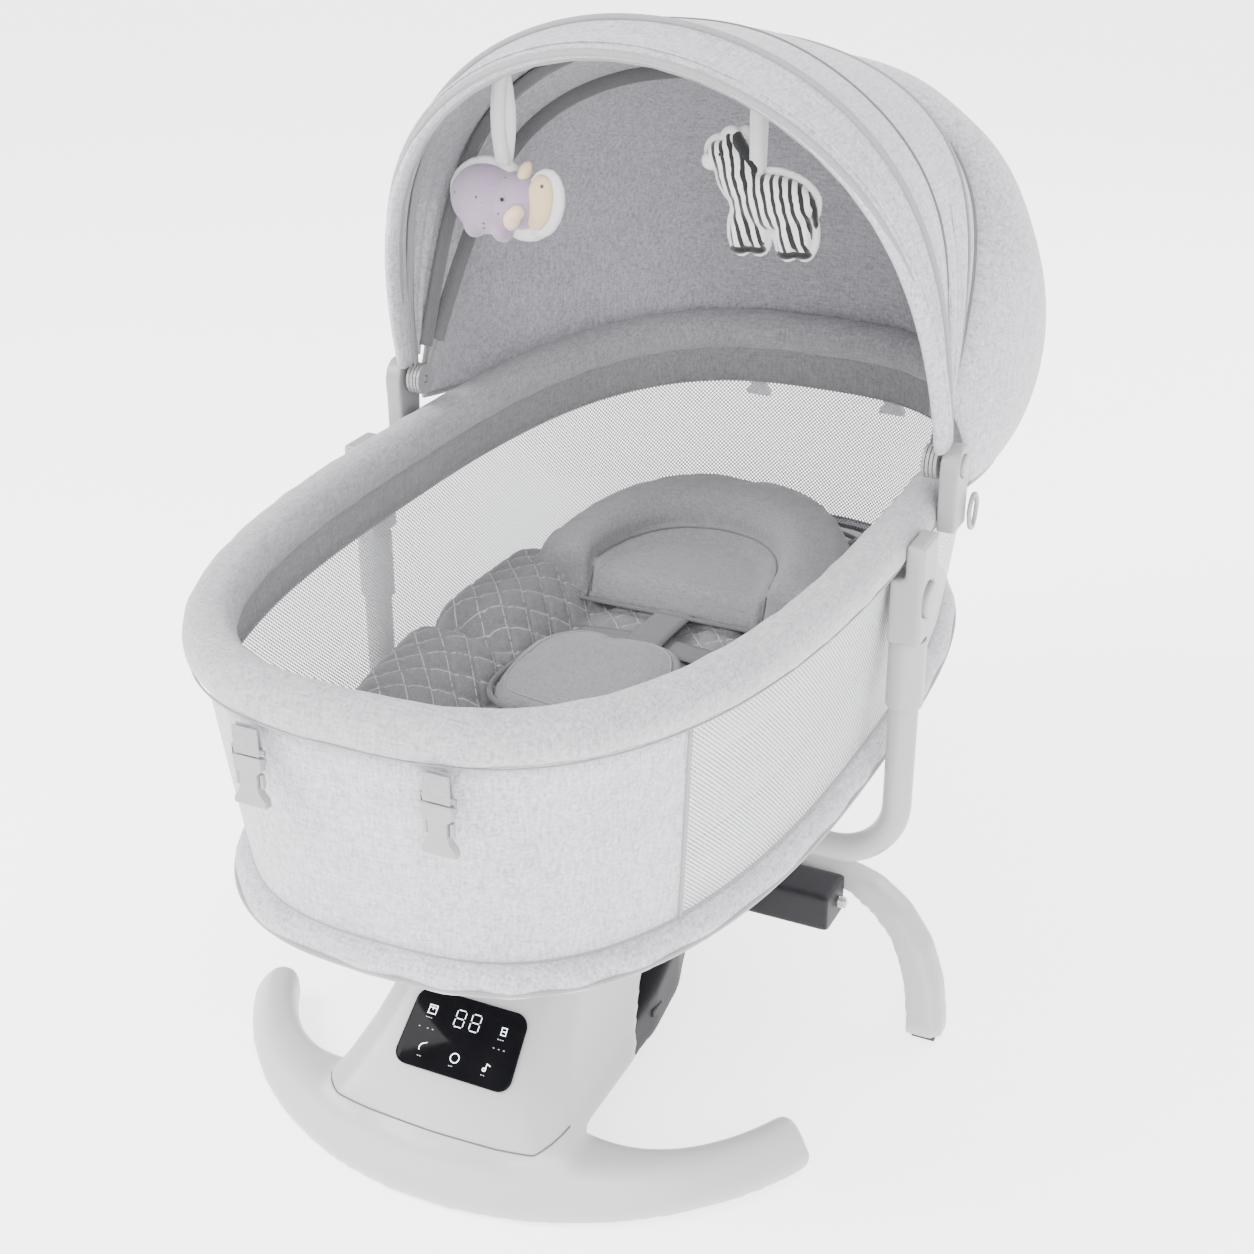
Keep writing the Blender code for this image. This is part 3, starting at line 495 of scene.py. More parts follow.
def netting(name, colour, pitch=0.0036, hole=0.30):
    """Knitted net with diamond-set holes. Its UVs are in metres."""
    n = Nodes(name)
    where = n.add("ShaderNodeTexCoord").outputs["UV"]
    split = n.add("ShaderNodeSeparateXYZ", {0: where}).outputs
    waves = []
    for axis in (0, 1):
        waves.append(n.math("COSINE", n.math("MULTIPLY", split[axis], 2 * pi / pitch)))
    field = n.math("MULTIPLY", waves[0], waves[1])
    solid = n.math("LESS_THAN", field, hole)
    thread = n.noise(n.scaled(where, (900.0, 2500.0, 1.0)), 1.0, 1.0)
    result = n.blend(thread, shade(colour, 0.86), shade(colour, 1.06))
    n.feed(n.shader.inputs["Alpha"], solid)
    n.shader.inputs["Specular IOR Level"].default_value = 0.3
    return n.finish(result, 0.8, n.bump(field, 0.5, 0.0006))


def moulded(name, colour, roughness=0.42, grain=0.06, scale=2600.0):
    """Moulded plastic with a fine spark-eroded grain and slight tone variation."""
    n = Nodes(name)
    where = n.add("ShaderNodeTexCoord").outputs["Object"]
    grit = n.noise(where, scale, 2.0, 0.7)
    broad = n.noise(where, 9.0, 3.0)
    result = n.blend(broad, shade(colour, 0.975), shade(colour, 1.02))
    rough = n.math("MULTIPLY_ADD", broad, 0.10)
    rough.node.inputs[2].default_value = roughness - 0.05
    return n.finish(result, rough, n.bump(grit, grain, 0.0004))


def metal(name, colour, roughness=0.3, metallic=1.0, brushed=True):
    """Metal with fine marks, drawn out along one way when brushed."""
    n = Nodes(name)
    where = n.add("ShaderNodeTexCoord").outputs["Object"]
    factors = (90.0, 90.0, 2400.0) if brushed else (1500.0, 1500.0, 1500.0)
    lines = n.noise(n.scaled(where, factors), 1.0, 2.0)
    rough = n.math("MULTIPLY_ADD", lines, 0.14)
    rough.node.inputs[2].default_value = roughness - 0.07
    n.shader.inputs["Metallic"].default_value = metallic
    result = n.blend(lines, shade(colour, 0.93), shade(colour, 1.04))
    return n.finish(result, rough, n.bump(lines, 0.08, 0.0003))


def glossy_panel():
    """Near-black glass with faint smudges."""
    n = Nodes("panel_glass_look")
    where = n.add("ShaderNodeTexCoord").outputs["Object"]
    smudge = n.noise(where, 55.0, 3.0)
    rough = n.math("MULTIPLY_ADD", smudge, 0.06)
    rough.node.inputs[2].default_value = 0.03
    n.shader.inputs["Specular IOR Level"].default_value = 0.03
    return n.finish(n.blend(smudge, rgb(0.002, 0.002, 0.003), rgb(0.006, 0.006, 0.007)), rough)


def glowing(name, colour, strength):
    """A lit print."""
    n = Nodes(name)
    where = n.add("ShaderNodeTexCoord").outputs["Object"]
    flicker = n.noise(where, 900.0, 1.0)
    n.feed(n.shader.inputs["Emission Color"], n.blend(flicker, shade(colour, 0.85), colour))
    n.shader.inputs["Emission Strength"].default_value = strength
    return n.finish(colour, 0.5)


def fleece(name, colour, stripes=None, dots=None):
    """Short-pile plush, with printed stripes or dots where the toy has them."""
    n = Nodes(name)
    where = n.add("ShaderNodeTexCoord").outputs["Object"]
    pile = n.noise(where, 1400.0, 3.0, 0.7)
    tuft = n.noise(where, 260.0, 2.0)
    result = n.blend(tuft, shade(colour, 0.93), shade(colour, 1.05))
    if stripes:
        band, turn = stripes
        spin = n.add("ShaderNodeVectorRotate", {"Vector": where, "Angle": turn}, rotation_type="Y_AXIS")
        wave = n.add("ShaderNodeTexWave", {"Vector": spin.outputs[0], "Scale": band, "Distortion": 1.3,
                                           "Detail": 1.0, "Detail Scale": 2.2}, wave_profile="SIN")
        result = n.blend(n.math("GREATER_THAN", wave.outputs["Fac"], 0.60), result, rgb(0.015, 0.015, 0.017))
    if dots:
        cells = n.add("ShaderNodeTexVoronoi", {"Vector": where, "Scale": dots})
        spot = n.math("LESS_THAN", cells.outputs["Distance"], 0.13)
        result = n.blend(spot, result, rgb(0.10, 0.06, 0.08))
    n.shader.inputs["Sheen Weight"].default_value = 0.5
    n.shader.inputs["Specular IOR Level"].default_value = 0.15
    return n.finish(result, 0.95, n.bump(pile, 0.5, 0.0010))


LIGHT = rgb(0.385, 0.372, 0.402)
LINEN = woven("light_linen", LIGHT)
RIM_CLOTH = woven("rim_linen", rgb(0.320, 0.312, 0.330), 0.30)
BAND_CLOTH = woven("inner_band_linen", rgb(0.245, 0.240, 0.252), 0.28)
PIPING = woven("piping_cloth", rgb(0.250, 0.246, 0.256), 0.10, 0.0008)
TAPE = woven("grey_tape", rgb(0.120, 0.120, 0.124), 0.12, 0.0007, 0.25)
PAD_CLOTH = woven("pad_cloth", rgb(0.195, 0.192, 0.200), 0.24, 0.0013, 0.3)
QUILT_CLOTH = woven("quilted_cloth", rgb(0.180, 0.178, 0.186), 0.22, 0.0012, 0.25,
                    quilt=(0.030, rgb(0.45, 0.45, 0.46)))
WEBBING = woven("harness_webbing", rgb(0.130, 0.130, 0.134), 0.18, 0.0006, 0.6)
CLIP_WEBBING = woven("clip_webbing", rgb(0.250, 0.246, 0.258), 0.18, 0.0007, 0.6)
NET = netting("white_net", rgb(0.66, 0.66, 0.68))
WHITE = moulded("white_moulding", rgb(0.400, 0.402, 0.400), 0.34)
GREY = moulded("grey_moulding", rgb(0.255, 0.255, 0.258), 0.42)
PALE_GREY = moulded("pale_grey_moulding", rgb(0.285, 0.285, 0.281), 0.40)
BLACK = moulded("black_moulding", rgb(0.014, 0.014, 0.016), 0.50)
BLACK.node_tree.nodes["Principled BSDF"].inputs["Specular IOR Level"].default_value = 0.2
SEAM = moulded("seam_shadow", rgb(0.10, 0.10, 0.10), 0.7)
TUBE = metal("powder_coat", rgb(0.310, 0.310, 0.302), 0.34, 0.0, False)
STEEL = metal("plated_steel", rgb(0.62, 0.62, 0.60), 0.28)
BRONZE = metal("gear_bronze", rgb(0.55, 0.34, 0.14), 0.35)
RUBBER = moulded("black_rubber", rgb(0.03, 0.03, 0.03), 0.8, 0.2)
BOARD = moulded("fibre_board", rgb(0.36, 0.27, 0.17), 0.8, 0.3, 700.0)
CIRCUIT = moulded("circuit_board_look", rgb(0.02, 0.14, 0.06), 0.45, 0.2, 1500.0)
GLASS = glossy_panel()
GLOW = glowing("lit_symbols", rgb(0.95, 0.98, 1.0), 2.2)
GLOW_DIM = glowing("dim_symbols", rgb(0.75, 0.78, 0.80), 0.55)
LILAC = fleece("lilac_plush_look", rgb(0.330, 0.255, 0.350), dots=95.0)
CREAM = fleece("cream_plush", rgb(0.66, 0.50, 0.31), dots=80.0)
WHITE_PLUSH = fleece("white_plush_look", rgb(0.66, 0.66, 0.65))
ZEBRA = fleece("zebra_plush", rgb(0.68, 0.68, 0.66), stripes=(48.0, 0.25))
BLACK_PLUSH = fleece("black_plush", rgb(0.015, 0.015, 0.017))
RIBBON = woven("white_ribbon", rgb(0.55, 0.55, 0.56), 0.06, 0.0006, 0.3)


def finish_cad_nodes():
    """Better materials for the CAD nodes that stay in view or inside."""
    looks = {
        "drive_motor": STEEL, "swing_shaft": STEEL, "shaft_bearing_lower": STEEL,
        "shaft_bearing_upper": STEEL, "leg_button_left": STEEL, "leg_button_right": STEEL,
        "rim_tube_head": STEEL, "rim_tube_foot": STEEL, "canopy_bow_front": GREY,
        "canopy_bow_second": GREY, "canopy_bow_third": GREY, "canopy_bow_rear": GREY,
        "drive_pinion": BRONZE, "sector_gear": BRONZE, "foot_pad_front": RUBBER,
        "foot_pad_left": RUBBER, "foot_pad_right": RUBBER, "speaker": RUBBER,
        "power_inlet": BLACK, "gearbox_lid": BLACK, "swing_head": BLACK, "saddle_cap": BLACK,
        "control_board": CIRCUIT, "base_board": BOARD,
    }
    for node, look in looks.items():
        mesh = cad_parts[node].data
        mesh.materials.clear()
        mesh.materials.append(look)
        keep_sharp(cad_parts[node], 35)


# ---- basket ----
def rim_cover():
    """Padded fabric sleeve round the rim, with slight creases across it."""
    path = [Vector((x, y, RIM_Z)) for x, y in even_oval(RIM_B, RIM_A, 240)]

    def section(i):
        around = 2 * pi * i / 240
        ripple = 0.00025 * sin(37 * around) + 0.0002 * sin(61 * around + 1.3)
        puffed = RIM_RADIUS + 0.0004 + ripple
        return [(puffed * cos(2 * pi * s / 28) * 1.02, puffed * sin(2 * pi * s / 28)) for s in range(28)]

    cover = ride(sweep("rim_cover", path, section, RIM_CLOTH, closed=True), "carrier")
    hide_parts("rim_foam_head", "rim_foam_foot")
    seam = [Vector((x, y, RIM_Z - 0.0125)) for x, y in even_oval(RIM_B + 0.0132, RIM_A + 0.0132, 240)]
    ride(sweep("rim_seam", seam, round_section(0.0008, 6), PIPING, closed=True), "carrier")


def inner_band():
    """Fabric band that hangs inside the basket from the rim."""
    rows = []
    for height, inset in ((RIM_Z - 0.006, 0.0155), (0.385, 0.0100), (0.372, 0.0050), (0.356, 0.0035)):
        width, length = wall_size(min(height, WALL_TOP))
        rows.append([Vector((x, y, height)) for x, y in even_oval(width - inset, length - inset, 200)])
    band = grid_sheet("inner_band", rows, BAND_CLOTH, 0.0012, wrap=True)
    ride(band, "carrier")
    hem = [Vector((x, y, 0.3555)) for x, y in even_oval(*(s - 0.0035 for s in wall_size(0.3555)), 200)]
    ride(sweep("inner_band_hem", hem, round_section(0.0011, 6), PIPING, closed=True), "carrier")


NET_START = -0.285          # the foot end's solid cloth stops here, and net goes on to the head


def basket_wall():
    """Net walls at both sides and the head, and solid cloth round the foot end."""
    count, rows = 320, 14
    bottom = WALL_BOTTOM + 0.010
    grid = []
    for r in range(rows + 1):
        height = bottom + (WALL_TOP + 0.004 - bottom) * r / rows
        width, length = wall_size(min(height, WALL_TOP))
        bulge = 0.0015 * sin(pi * r / rows)
        ring = even_oval(width + bulge - 0.001, length + bulge - 0.001, count)
        grid.append([Vector((x, y, height)) for x, y in ring])
    head = [c for c in range(count) if grid[0][c].y >= NET_START]
    turn_over = next(c for c in range(count) if grid[0][c].y < NET_START)
    order = [(turn_over + k) % count for k in range(count)]
    foot = [c for c in order if grid[0][c].y < NET_START]
    net_order = [(foot[-1] + k) % count for k in range(len(head) + 2)]
    net = grid_sheet("basket_net", [[row[c] for c in net_order] for row in grid], NET, 0.0)
    ride(net, "carrier")
    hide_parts("basket_wall")
    cloth_order = [foot[0] - 1] + foot + [(foot[-1] + 1) % count]
    cloth = grid_sheet("foot_end_cloth", [[row[c] for c in cloth_order] for row in grid], LINEN, 0.0012)
    ride(cloth, "carrier")
    for number, column in enumerate((cloth_order[0], cloth_order[-1])):
        edge = [Vector((row[column].x * 1.004, row[column].y * 1.004, row[column].z)) for row in grid]
        piping = sweep("net_edge_" + str(number), edge, round_section(0.0016, 8), PIPING)
        ride(piping, "carrier")


def bottom_cover():
    """Padded brim round the bottom and the cloth under the board."""
    profile = [
        (0.0000, 0.2365), (0.0040, 0.2362), (0.0092, 0.2325), (0.0126, 0.2275), (0.0132, 0.2228),
        (0.0116, 0.2178), (0.0068, 0.2142), (-0.0020, 0.2115), (-0.0120, 0.2070), (-0.0180, 0.2050),
        (-0.0600, 0.2046),
    ]
    rows = []
    for out, height in profile:
        ring = even_oval(BOTTOM_B + out, BOTTOM_A + out, 240)
        crease = 0.0006 if 0.213 < height < 0.234 else 0.0
        row = []
        for k, (x, y) in enumerate(ring):
            push = 1 + crease * sin(k * 0.9 + 3 * sin(k * 0.13)) / 0.2
            row.append(Vector((x * push, y * push, height)))
        rows.append(row)
    points = [p for row in rows for p in row]
    faces = []
    for r in range(len(rows) - 1):
        for c in range(240):
            d = (c + 1) % 240
            faces.append((r * 240 + c, (r + 1) * 240 + c, (r + 1) * 240 + d, r * 240 + d))
    faces.append(tuple((len(rows) - 1) * 240 + c for c in range(240)))
    cover = tidy_normals(mesh_object("bottom_brim", points, faces, LINEN))
    ride(cover, "carrier")
    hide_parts("bottom_cover")
    trims = (("brim_piping", 0.0128, 0.2212, 0.0019), ("brim_seam", 0.0010, 0.2372, 0.0012))
    for name, out, height, radius in trims:
        loop = [Vector((x, y, height)) for x, y in even_oval(BOTTOM_B + out, BOTTOM_A + out, 240)]
        ride(sweep(name, loop, round_section(radius, 8), PIPING, closed=True), "carrier")


# ---- pads ----
def heap(name, outline_rule, height_rule, base, size, step, material):
    """A closed pad over an area: outline_rule says what is inside, height_rule gives the top."""
    (x0, x1), (y0, y1) = size
    nx, ny = int((x1 - x0) / step), int((y1 - y0) / step)
    index, points, faces = {}, [], []
    for j in range(ny + 1):
        for i in range(nx + 1):
            x, y = x0 + (x1 - x0) * i / nx, y0 + (y1 - y0) * j / ny
            x, y = outline_rule(x, y)
            index[i, j] = len(points)
            points.append(Vector((x, y, height_rule(x, y))))
    top_count = len(points)
    points += [Vector((p.x, p.y, base)) for p in points]
    for j in range(ny):
        for i in range(nx):
            a, b, c, d = index[i, j], index[i + 1, j], index[i + 1, j + 1], index[i, j + 1]
            faces.append((a, b, c, d))
            faces.append((top_count + a, top_count + d, top_count + c, top_count + b))
    border = [index[i, 0] for i in range(nx + 1)] + [index[nx, j] for j in range(1, ny + 1)]
    border += [index[i, ny] for i in range(nx - 1, -1, -1)] + [index[0, j] for j in range(ny - 1, 0, -1)]
    for k, a in enumerate(border):
        b = border[(k + 1) % len(border)]
        faces.append((a, top_count + a, top_count + b, b))
    return tidy_normals(mesh_object(name, points, faces, material))


def square_to_oval(x, y, centre_y, width, length, exponent=2.6):
    """Maps a rectangle's points smoothly into an oval."""
    u, v = x / width, (y - centre_y) / length
    reach = max(abs(u), abs(v))
    if reach < 1e-6:
        return x, y
    norm = (abs(u) ** exponent + abs(v) ** exponent) ** (1 / exponent)
    factor = reach / norm
    return u * factor * width, centre_y + v * factor * length


SEAT = (0.166, 0.338, -0.008)       # half-width, half-length, centre y
SEAT_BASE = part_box("seat_pad")[0].z


def seat_height(x, y):
    """Top of the quilted pad: low in the middle, with plump segments up both sides and at the foot."""
    width, length, centre = SEAT
    u, v = abs(x) / width, (y - centre) / length
    edge = (abs(u) ** 2.6 + abs(v) ** 2.6) ** (1 / 2.6)
    side = min(1.0, max(0.0, (u - 0.36) / 0.34))
    bolster = 0.034 * side * side * (3 - 2 * side) * (1 - 0.35 * max(0.0, v) ** 2)
    foot = min(1.0, max(0.0, (-v - 0.52) / 0.30))
    bolster = max(bolster, 0.026 * foot * foot * (3 - 2 * foot))
    for crease in (-0.62, -0.14, 0.36):
        bolster *= 1 - 0.55 * exp(-((v - crease) / 0.045) ** 2) * min(1.0, u / 0.4)
    fall = min(1.0, max(0.0, (1.0 - edge) / 0.13))
    roll = sqrt(max(0.0, 1 - (1 - fall) ** 2))
    channel = 0.008 * exp(-((u - 0.40) / 0.05) ** 2)
    return SEAT_BASE + 0.004 + (0.014 + bolster - channel) * roll


def quilting(point):
    """Depth of the stitched diamonds at a point of the pad."""
    ditch = 0.0
    for sign in (1, -1):
        run = (point.x * sign * 1.25 + point.y) / 0.030
        ditch = max(ditch, abs((run % 1.0) - 0.5) * 2)
    return 0.0022 * max(0.0, (ditch - 0.72) / 0.28) ** 1.5


def seat_pad():
    """Quilted pad with piping, and the mattress below it."""
    width, length, centre = SEAT

    def seat_place(x, y):
        return square_to_oval(x, y, centre, width, length)

    def stitched(co, normal):
        return co - normal * quilting(co) if normal.z > 0.2 else co

    pad = heap("quilted_seat_pad", seat_place, seat_height,
               SEAT_BASE + 0.0008, ((-width, width), (centre - length, centre + length)), 0.006, QUILT_CLOTH)
    puff(pad, voxel=0.0050, pressure=2.5, cap=0.004, frames=14)
    subdivide(pad)
    apply_modifiers(pad)
    move_vertices(pad, stitched)
    pad.data.shade_smooth()
    ride(pad, "carrier")
    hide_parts("seat_pad")
    piping = []
    for x, y in even_oval(width - 0.002, length - 0.002, 200, 2.6):
        piping.append(Vector((x, y + centre, SEAT_BASE + 0.012)))
    edge = sweep("seat_pad_piping", piping, round_section(0.0021, 8), TAPE, closed=True)
    ride(edge, "carrier")
    mattress = softened("mattress_cover", ["mattress"], LINEN, 0.005, 3)
    ride(mattress, "carrier")


PILLOW_Y = 0.062            # straight front edge of the head pillow
PILLOW = (0.138, 0.190)     # half-width, depth
PILLOW_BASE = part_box("head_pillow")[0].z


def pillow_reach(x, y):
    """0 in the middle of the front edge, 1 on the pillow's outline."""
    return ((abs(x) / PILLOW[0]) ** 2.4 + (max(0.0, y - PILLOW_Y) / PILLOW[1]) ** 2.4) ** (1 / 2.4)


def pillow_height(x, y):
    """Top of the head pillow: a raised ring round a lower middle, low at the front edge."""
    reach = pillow_reach(x, y)
    inner = ((abs(x) / 0.078) ** 2.3 + (max(0.0, y - PILLOW_Y) / 0.108) ** 2.3) ** (1 / 2.3)
    ring = min(1.0, max(0.0, (inner - 0.86) / 0.30))
    ring = ring * ring * (3 - 2 * ring)
    rise = 0.022 + 0.018 * ring + 0.032 * max(0.0, (y - PILLOW_Y) / PILLOW[1]) * ring
    fall = min(1.0, max(0.0, (1.0 - reach) / 0.20))
    front = min(1.0, max(0.0, (y - PILLOW_Y + 0.0005) / 0.022))
    roll = sqrt(max(0.0, 1 - (1 - fall) ** 2)) * sqrt(max(0.0, 1 - (1 - front) ** 2))
    return PILLOW_BASE + 0.002 + rise * roll


def pillow_place(x, y):
    """Maps a rectangle's points into the pillow's D shape, straight at the front."""
    v = (y - PILLOW_Y) / PILLOW[1]
    u = x / PILLOW[0]
    reach = max(abs(u), v)
    if reach < 1e-6:
        return x, y
    factor = reach / (abs(u) ** 2.4 + v ** 2.4) ** (1 / 2.4)
    return u * factor * PILLOW[0], PILLOW_Y + v * factor * PILLOW[1]


def head_pillow():
    """U-shaped head pillow with a stitched arc inside and piping along its front."""
    pillow = heap("head_pillow_soft", pillow_place, pillow_height, PILLOW_BASE + 0.0008,
                  ((-PILLOW[0], PILLOW[0]), (PILLOW_Y, PILLOW_Y + PILLOW[1])), 0.005, PAD_CLOTH)
    puff(pillow, voxel=0.0045, pressure=4.0, cap=0.005)
    relax = pillow.modifiers.new("relax", "SMOOTH")
    relax.iterations = 3
    subdivide(pillow)
    apply_modifiers(pillow)

    def seam(co, normal):
        inner = ((abs(co.x) / 0.078) ** 2.3 + (max(0.0, co.y - PILLOW_Y) / 0.108) ** 2.3) ** (1 / 2.3)
        depth = 0.0045 * exp(-((inner - 0.97) / 0.035) ** 2) if normal.z > 0.1 else 0.0
        return co - normal * depth

    move_vertices(pillow, seam)
    pillow.data.shade_smooth()
    ride(pillow, "carrier")
    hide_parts("head_pillow")
    tree = surface_of(pillow)
    arc = []
    for i in range(41):
        a = pi * i / 40
        x = 0.0765 * abs(cos(a)) ** (2 / 2.3) * (1 if cos(a) >= 0 else -1)
        y = PILLOW_Y + 0.004 + 0.103 * sin(a) ** (2 / 2.3)
        arc.append(on_surface(tree, x, y, 0.0006))
    ride(sweep("pillow_arc_seam", arc, round_section(0.0009, 6), TAPE), "carrier")
    edge = []
    for i in range(61):
        share = -1 + 2 * i / 60
        edge.append(Vector((share * (PILLOW[0] - 0.004), PILLOW_Y - 0.0030 + 0.003 * abs(share) ** 6,
                            PILLOW_BASE + 0.0070)))
    ride(sweep("pillow_front_piping", edge, round_section(0.0018, 8), TAPE), "carrier")


def surface_of(piece):
    """Search tree of a piece's surface."""
    depsgraph = bpy.context.evaluated_depsgraph_get()
    return BVHTree.FromObject(piece, depsgraph)


def on_surface(tree, x, y, above):
    """Point just above the surface at (x, y)."""
    hit = tree.ray_cast(Vector((x, y, 1.0)), Vector((0, 0, -1)))
    return Vector((x, y, hit[0].z + above)) if hit[0] else Vector((x, y, 0.27))


CROTCH = (0.068, 0.060, -0.078)     # half-width, half-length, centre y
CROTCH_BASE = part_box("crotch_pad")[0].z


def crotch_height(x, y):
    """Top of the crotch pad, higher towards the pillow."""
    u, v = abs(x) / CROTCH[0], (y - CROTCH[2]) / CROTCH[1]
    reach = (u ** 3.0 + abs(v) ** 3.0) ** (1 / 3.0)
    fall = min(1.0, max(0.0, (1.0 - reach) / 0.25))
    lift = 0.012 * (0.5 + 0.5 * v)
    return CROTCH_BASE + 0.003 + lift + 0.012 * sqrt(max(0.0, 1 - (1 - fall) ** 2))


def crotch_pad():
    """Rounded pad between the legs, narrower towards the pillow, with a bound edge and a stitch line."""
    width, length, centre = CROTCH

    def crotch_place(x, y):
        x, y = square_to_oval(x, y, centre, width, length, 3.0)
        return x * (1.0 - 0.16 * (y - centre) / length), y

    pad = heap("crotch_pad_soft", crotch_place, crotch_height, CROTCH_BASE + 0.0010,
               ((-width, width), (centre - length, centre + length)), 0.004, PAD_CLOTH)
    puff(pad, voxel=0.0040, pressure=4.0, cap=0.004)
    subdivide(pad)
    apply_modifiers(pad)
    pad.data.shade_smooth()
    ride(pad, "carrier")
    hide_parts("crotch_pad")
    tree = surface_of(pad)
    for name, scale, above in (("crotch_pad_binding", 1.00, 0.0010), ("crotch_pad_stitch", 0.86, 0.0004)):
        loop = []
        for x, y in even_oval(width * scale, length * scale, 90, 3.0):
            x = x * (1.0 - 0.16 * y / length)
            if scale == 1.0:
                lift = 0.012 * (0.5 + 0.5 * y / length)
                loop.append(Vector((x, y + centre, CROTCH_BASE + 0.006 + lift)))
            else:
                loop.append(on_surface(tree, x, y + centre, above))
        size = 0.0022 if scale == 1.0 else 0.0007
        ride(sweep(name, loop, round_section(size, 8), TAPE if scale == 1.0 else PIPING, closed=True),
             "carrier")


def webbing_strap(name, path, width, thickness=0.0016):
    """Flat woven strap: path points with the strap's width lying across X or Y."""
    rows = []
    for side in (-0.5, -0.25, 0.0, 0.25, 0.5):
        rows.append([point + across * (width * side) for point, across in path])
    strap = grid_sheet(name, rows, WEBBING, thickness)
    ride(strap, "carrier")
    return strap


def harness():
    """Waist belt over the pad and the crotch strap under the pillow's front edge."""
    belt = []
    for i in range(31):
        share = -1 + 2 * i / 30
        x = 0.060 * share
        belt.append((Vector((x, 0.012, SEAT_BASE + 0.0245 + 0.004 * (1 - share * share))), Vector((0, 1, 0))))
    strap = webbing_strap("waist_belt", belt, 0.026)
    tongue = []
    for i in range(21):
        share = i / 20
        height = SEAT_BASE + 0.0300 + 0.003 * sin(pi * share)
        tongue.append((Vector((0.004, -0.030 + 0.105 * share, height)), Vector((1, 0, 0))))
    strap = webbing_strap("crotch_strap", tongue, 0.030)


# ---- carrier ----
def carrier():
    """U-shaped tube, with a sleeve, a rim fitting and a release knob at each side."""
    bend = 0.050
    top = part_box("carrier_tube")[1].z
    side = [Vector((CARRIER_X, SWING_Y, top - (top - CARRIER_LOW - bend) * i / 8)) for i in range(9)]
    for i in range(1, 17):
        a = pi / 2 * i / 16
        side.append(Vector((CARRIER_X - bend + bend * cos(a), SWING_Y, CARRIER_LOW + bend - bend * sin(a))))
    path = side + [Vector((-p.x, p.y, p.z)) for p in reversed(side)]
    tube = sweep("carrier_tube_smooth", path, round_section(CARRIER_RADIUS, 32), TUBE)
    ride(tube, "carrier")
    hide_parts("carrier_tube")
    keep_sharp(tube, 50)
    for name, sign in (("left", -1), ("right", 1)):
        low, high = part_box("tube_sleeve_" + name)
        profile = [(0.0113, low.z), (0.0132, low.z), (0.0138, low.z + 0.0008), (0.0138, high.z - 0.0008),
                   (0.0132, high.z), (0.0113, high.z)]
        sleeve = turned("sleeve_" + name, profile, (sign * CARRIER_X, SWING_Y), TUBE)
        ride(sleeve, "carrier")
        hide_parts("tube_sleeve_" + name)
        fitting = softened("fitting_" + name, ["rim_fitting_" + name], PALE_GREY, 0.0016, 8)
        ride(fitting, "carrier")
        low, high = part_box("release_button_" + name)
        dome = [(0.0, 0.0), (0.0128, 0.0), (0.0130, 0.0006), (0.0130, 0.0038), (0.0121, 0.0050),
                (0.0090, 0.0054), (0.0, 0.0056)]
        start = Vector((low.x if sign > 0 else high.x, SWING_Y, FITTING_Z))
        button = turned_x("release_knob_" + name, dome, start, sign, PALE_GREY)
        ride(button, "release_button_" + name)
        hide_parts("release_button_" + name)


def turned(name, profile, centre, material, sides=48):
    """A ring round a vertical axis from a closed profile of (radius, height)."""
    points = []
    for s in range(sides):
        a = 2 * pi * s / sides
        points += [(centre[0] + r * cos(a), centre[1] + r * sin(a), h) for r, h in profile]
    count = len(profile)
    faces = []
    for s in range(sides):
        t = (s + 1) % sides
        for k in range(count):
            m = (k + 1) % count
            faces.append((s * count + k, t * count + k, t * count + m, s * count + m))
    return keep_sharp(tidy_normals(mesh_object(name, points, faces, material)), 35)


def turned_x(name, profile, start, sign, material, sides=40):
    """A disc or knob along X: profile of (radius, distance outward from start), from axis to axis."""
    points = [Vector((start.x + sign * profile[0][1], start.y, start.z))]
    rings = profile[1:-1]
    for r, h in rings:
        for s in range(sides):
            a = 2 * pi * s / sides
            points.append(Vector((start.x + sign * h, start.y + r * cos(a), start.z + r * sin(a))))
    points.append(Vector((start.x + sign * profile[-1][1], start.y, start.z)))
    last = len(points) - 1
    faces = []
    for s in range(sides):
        t = (s + 1) % sides
        faces.append((0, 1 + t, 1 + s))
        for k in range(len(rings) - 1):
            a, b = 1 + k * sides, 1 + (k + 1) * sides
            faces.append((a + s, a + t, b + t, b + s))
        tail = 1 + (len(rings) - 1) * sides
        faces.append((tail + s, tail + t, last))
    return keep_sharp(tidy_normals(mesh_object(name, points, faces, material)), 35)


